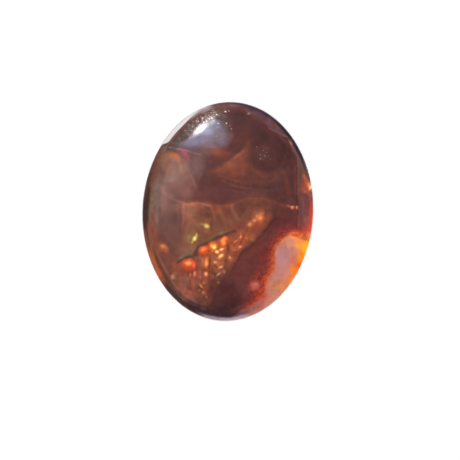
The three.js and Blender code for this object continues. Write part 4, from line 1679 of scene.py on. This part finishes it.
# %% Sky
def sky():
    """The sky that the mirror above was worked out for, as nodes."""
    world = bpy.data.worlds.new("studio")
    world.use_nodes = True
    tree = world.node_tree
    tree.nodes.clear()
    towards = add(tree, "ShaderNodeTexCoord").outputs["Generated"]
    side = add(tree, "ShaderNodeVectorMath", {0: towards, 1: LIGHT_SIDE}, operation="DOT_PRODUCT")
    total = add(tree, "ShaderNodeMapRange", {
        "Value": side.outputs["Value"], "From Min": -1.0, "To Min": SKY_DARK_SIDE,
        "To Max": SKY_LIGHT_SIDE}).outputs["Result"]
    height = add(tree, "ShaderNodeSeparateXYZ", {"Vector": towards}).outputs["Z"]
    above = add(tree, "ShaderNodeMapRange", {"Value": height, "From Max": HORIZON_FADE},
                interpolation_type="SMOOTHSTEP").outputs["Result"]
    for place, colour, strength, spread in SOFT_LIGHTS:
        facing = add(tree, "ShaderNodeVectorMath", {0: towards, 1: mirrored_at(place)},
                     operation="DOT_PRODUCT")
        less = add(tree, "ShaderNodeMath", {0: facing.outputs["Value"], 1: 1.0}, operation="SUBTRACT")
        scaled = add(tree, "ShaderNodeMath", {0: less.outputs["Value"], 1: spread}, operation="MULTIPLY")
        fading = add(tree, "ShaderNodeMath", {0: scaled.outputs["Value"]}, operation="EXPONENT")
        bright = add(tree, "ShaderNodeMath", {0: fading.outputs["Value"], 1: strength},
                     operation="MULTIPLY")
        faded = add(tree, "ShaderNodeMath", {0: bright.outputs["Value"], 1: above}, operation="MULTIPLY")
        tinted = add(tree, "ShaderNodeVectorMath", {
            0: light_of(colour)[:3], "Scale": faded.outputs["Value"]}, operation="SCALE")
        total = add(tree, "ShaderNodeVectorMath", {0: total, 1: tinted.outputs["Vector"]},
                    operation="ADD").outputs["Vector"]
    background = add(tree, "ShaderNodeBackground", {"Color": total})
    output = tree.nodes.new("ShaderNodeOutputWorld")
    tree.links.new(background.outputs["Background"], output.inputs["Surface"])
    return world


bpy.context.scene.world = sky()
print("soft lights in the sky:", len(SOFT_LIGHTS))

# %% Lamp of the highlight
LAMP_SEEN_AT = (-1.61, 4.98)
LAMP_DISTANCE = 150.0
LAMP_WIDTH = 62.0
LAMP_HEIGHT = 42.0
LAMP_RADIANCE = 48.0
LAMP_FALL = 22.0


def lamp():
    """A small oval lamp that only the polish mirrors. It fades from its middle to its edge.

    Its energy is its radiance times pi times its area, and an oval's area is pi / 4 times width times
    height.
    """
    data = bpy.data.lights.new("highlight_lamp", "AREA")
    data.shape = "ELLIPSE"
    data.size = LAMP_WIDTH * MM
    data.size_y = LAMP_HEIGHT * MM
    data.energy = LAMP_RADIANCE * math.pi * math.pi * data.size * data.size_y / 4
    data.use_nodes = True
    tree = data.node_tree
    tree.nodes.clear()
    on_lamp = add(tree, "ShaderNodeNewGeometry").outputs["Parametric"]
    from_heart = add(tree, "ShaderNodeVectorMath", {0: on_lamp, 1: (0.5, 0.5, 0.0)},
                     operation="SUBTRACT")
    squared = add(tree, "ShaderNodeVectorMath", {
        0: from_heart.outputs["Vector"], 1: from_heart.outputs["Vector"]}, operation="DOT_PRODUCT")
    fall = add(tree, "ShaderNodeMath", {0: squared.outputs["Value"], 1: -LAMP_FALL},
               operation="MULTIPLY")
    strength = add(tree, "ShaderNodeMath", {0: fall.outputs["Value"]}, operation="EXPONENT")
    shine = add(tree, "ShaderNodeEmission", {"Strength": strength.outputs["Value"]})
    output = tree.nodes.new("ShaderNodeOutputLight")
    tree.links.new(shine.outputs["Emission"], output.inputs["Surface"])
    panel = bpy.data.objects.new("highlight_lamp", data)
    bpy.context.scene.collection.objects.link(panel)
    panel.visible_diffuse = False
    panel.visible_transmission = False
    towards = Vector(mirrored_at(LAMP_SEEN_AT))
    panel.location = towards * LAMP_DISTANCE * MM
    panel.rotation_mode = "QUATERNION"
    panel.rotation_quaternion = towards.to_track_quat("Z", "Y")
    return panel


print("highlight lamp at, in metres:", [round(value, 3) for value in lamp().location])

# %% Camera
FRAME_WIDTH = 27.6
CAMERA_DISTANCE = 400.0
LOOKS_AT = (0.13, -1.11)
SENSOR = 36.0
NEAREST_SEEN = 0.01
FARTHEST_SEEN = 10.0


def camera():
    """Looks straight down, rolled so that the stone leans as in the photograph."""
    data = bpy.data.cameras.new("camera")
    data.sensor_width = SENSOR
    data.lens = SENSOR * CAMERA_DISTANCE / FRAME_WIDTH
    data.clip_start = NEAREST_SEEN
    data.clip_end = FARTHEST_SEEN
    eye = bpy.data.objects.new("camera", data)
    bpy.context.scene.collection.objects.link(eye)
    eye.location = Vector((*to_stone(*LOOKS_AT), CAMERA_DISTANCE)) * MM
    eye.rotation_euler = (0, 0, LEAN)
    return eye


bpy.context.scene.camera = camera()
bpy.context.scene.view_settings.view_transform = "Standard"
print(f"lens {bpy.context.scene.camera.data.lens:.0f} mm, frame {FRAME_WIDTH} mm wide")
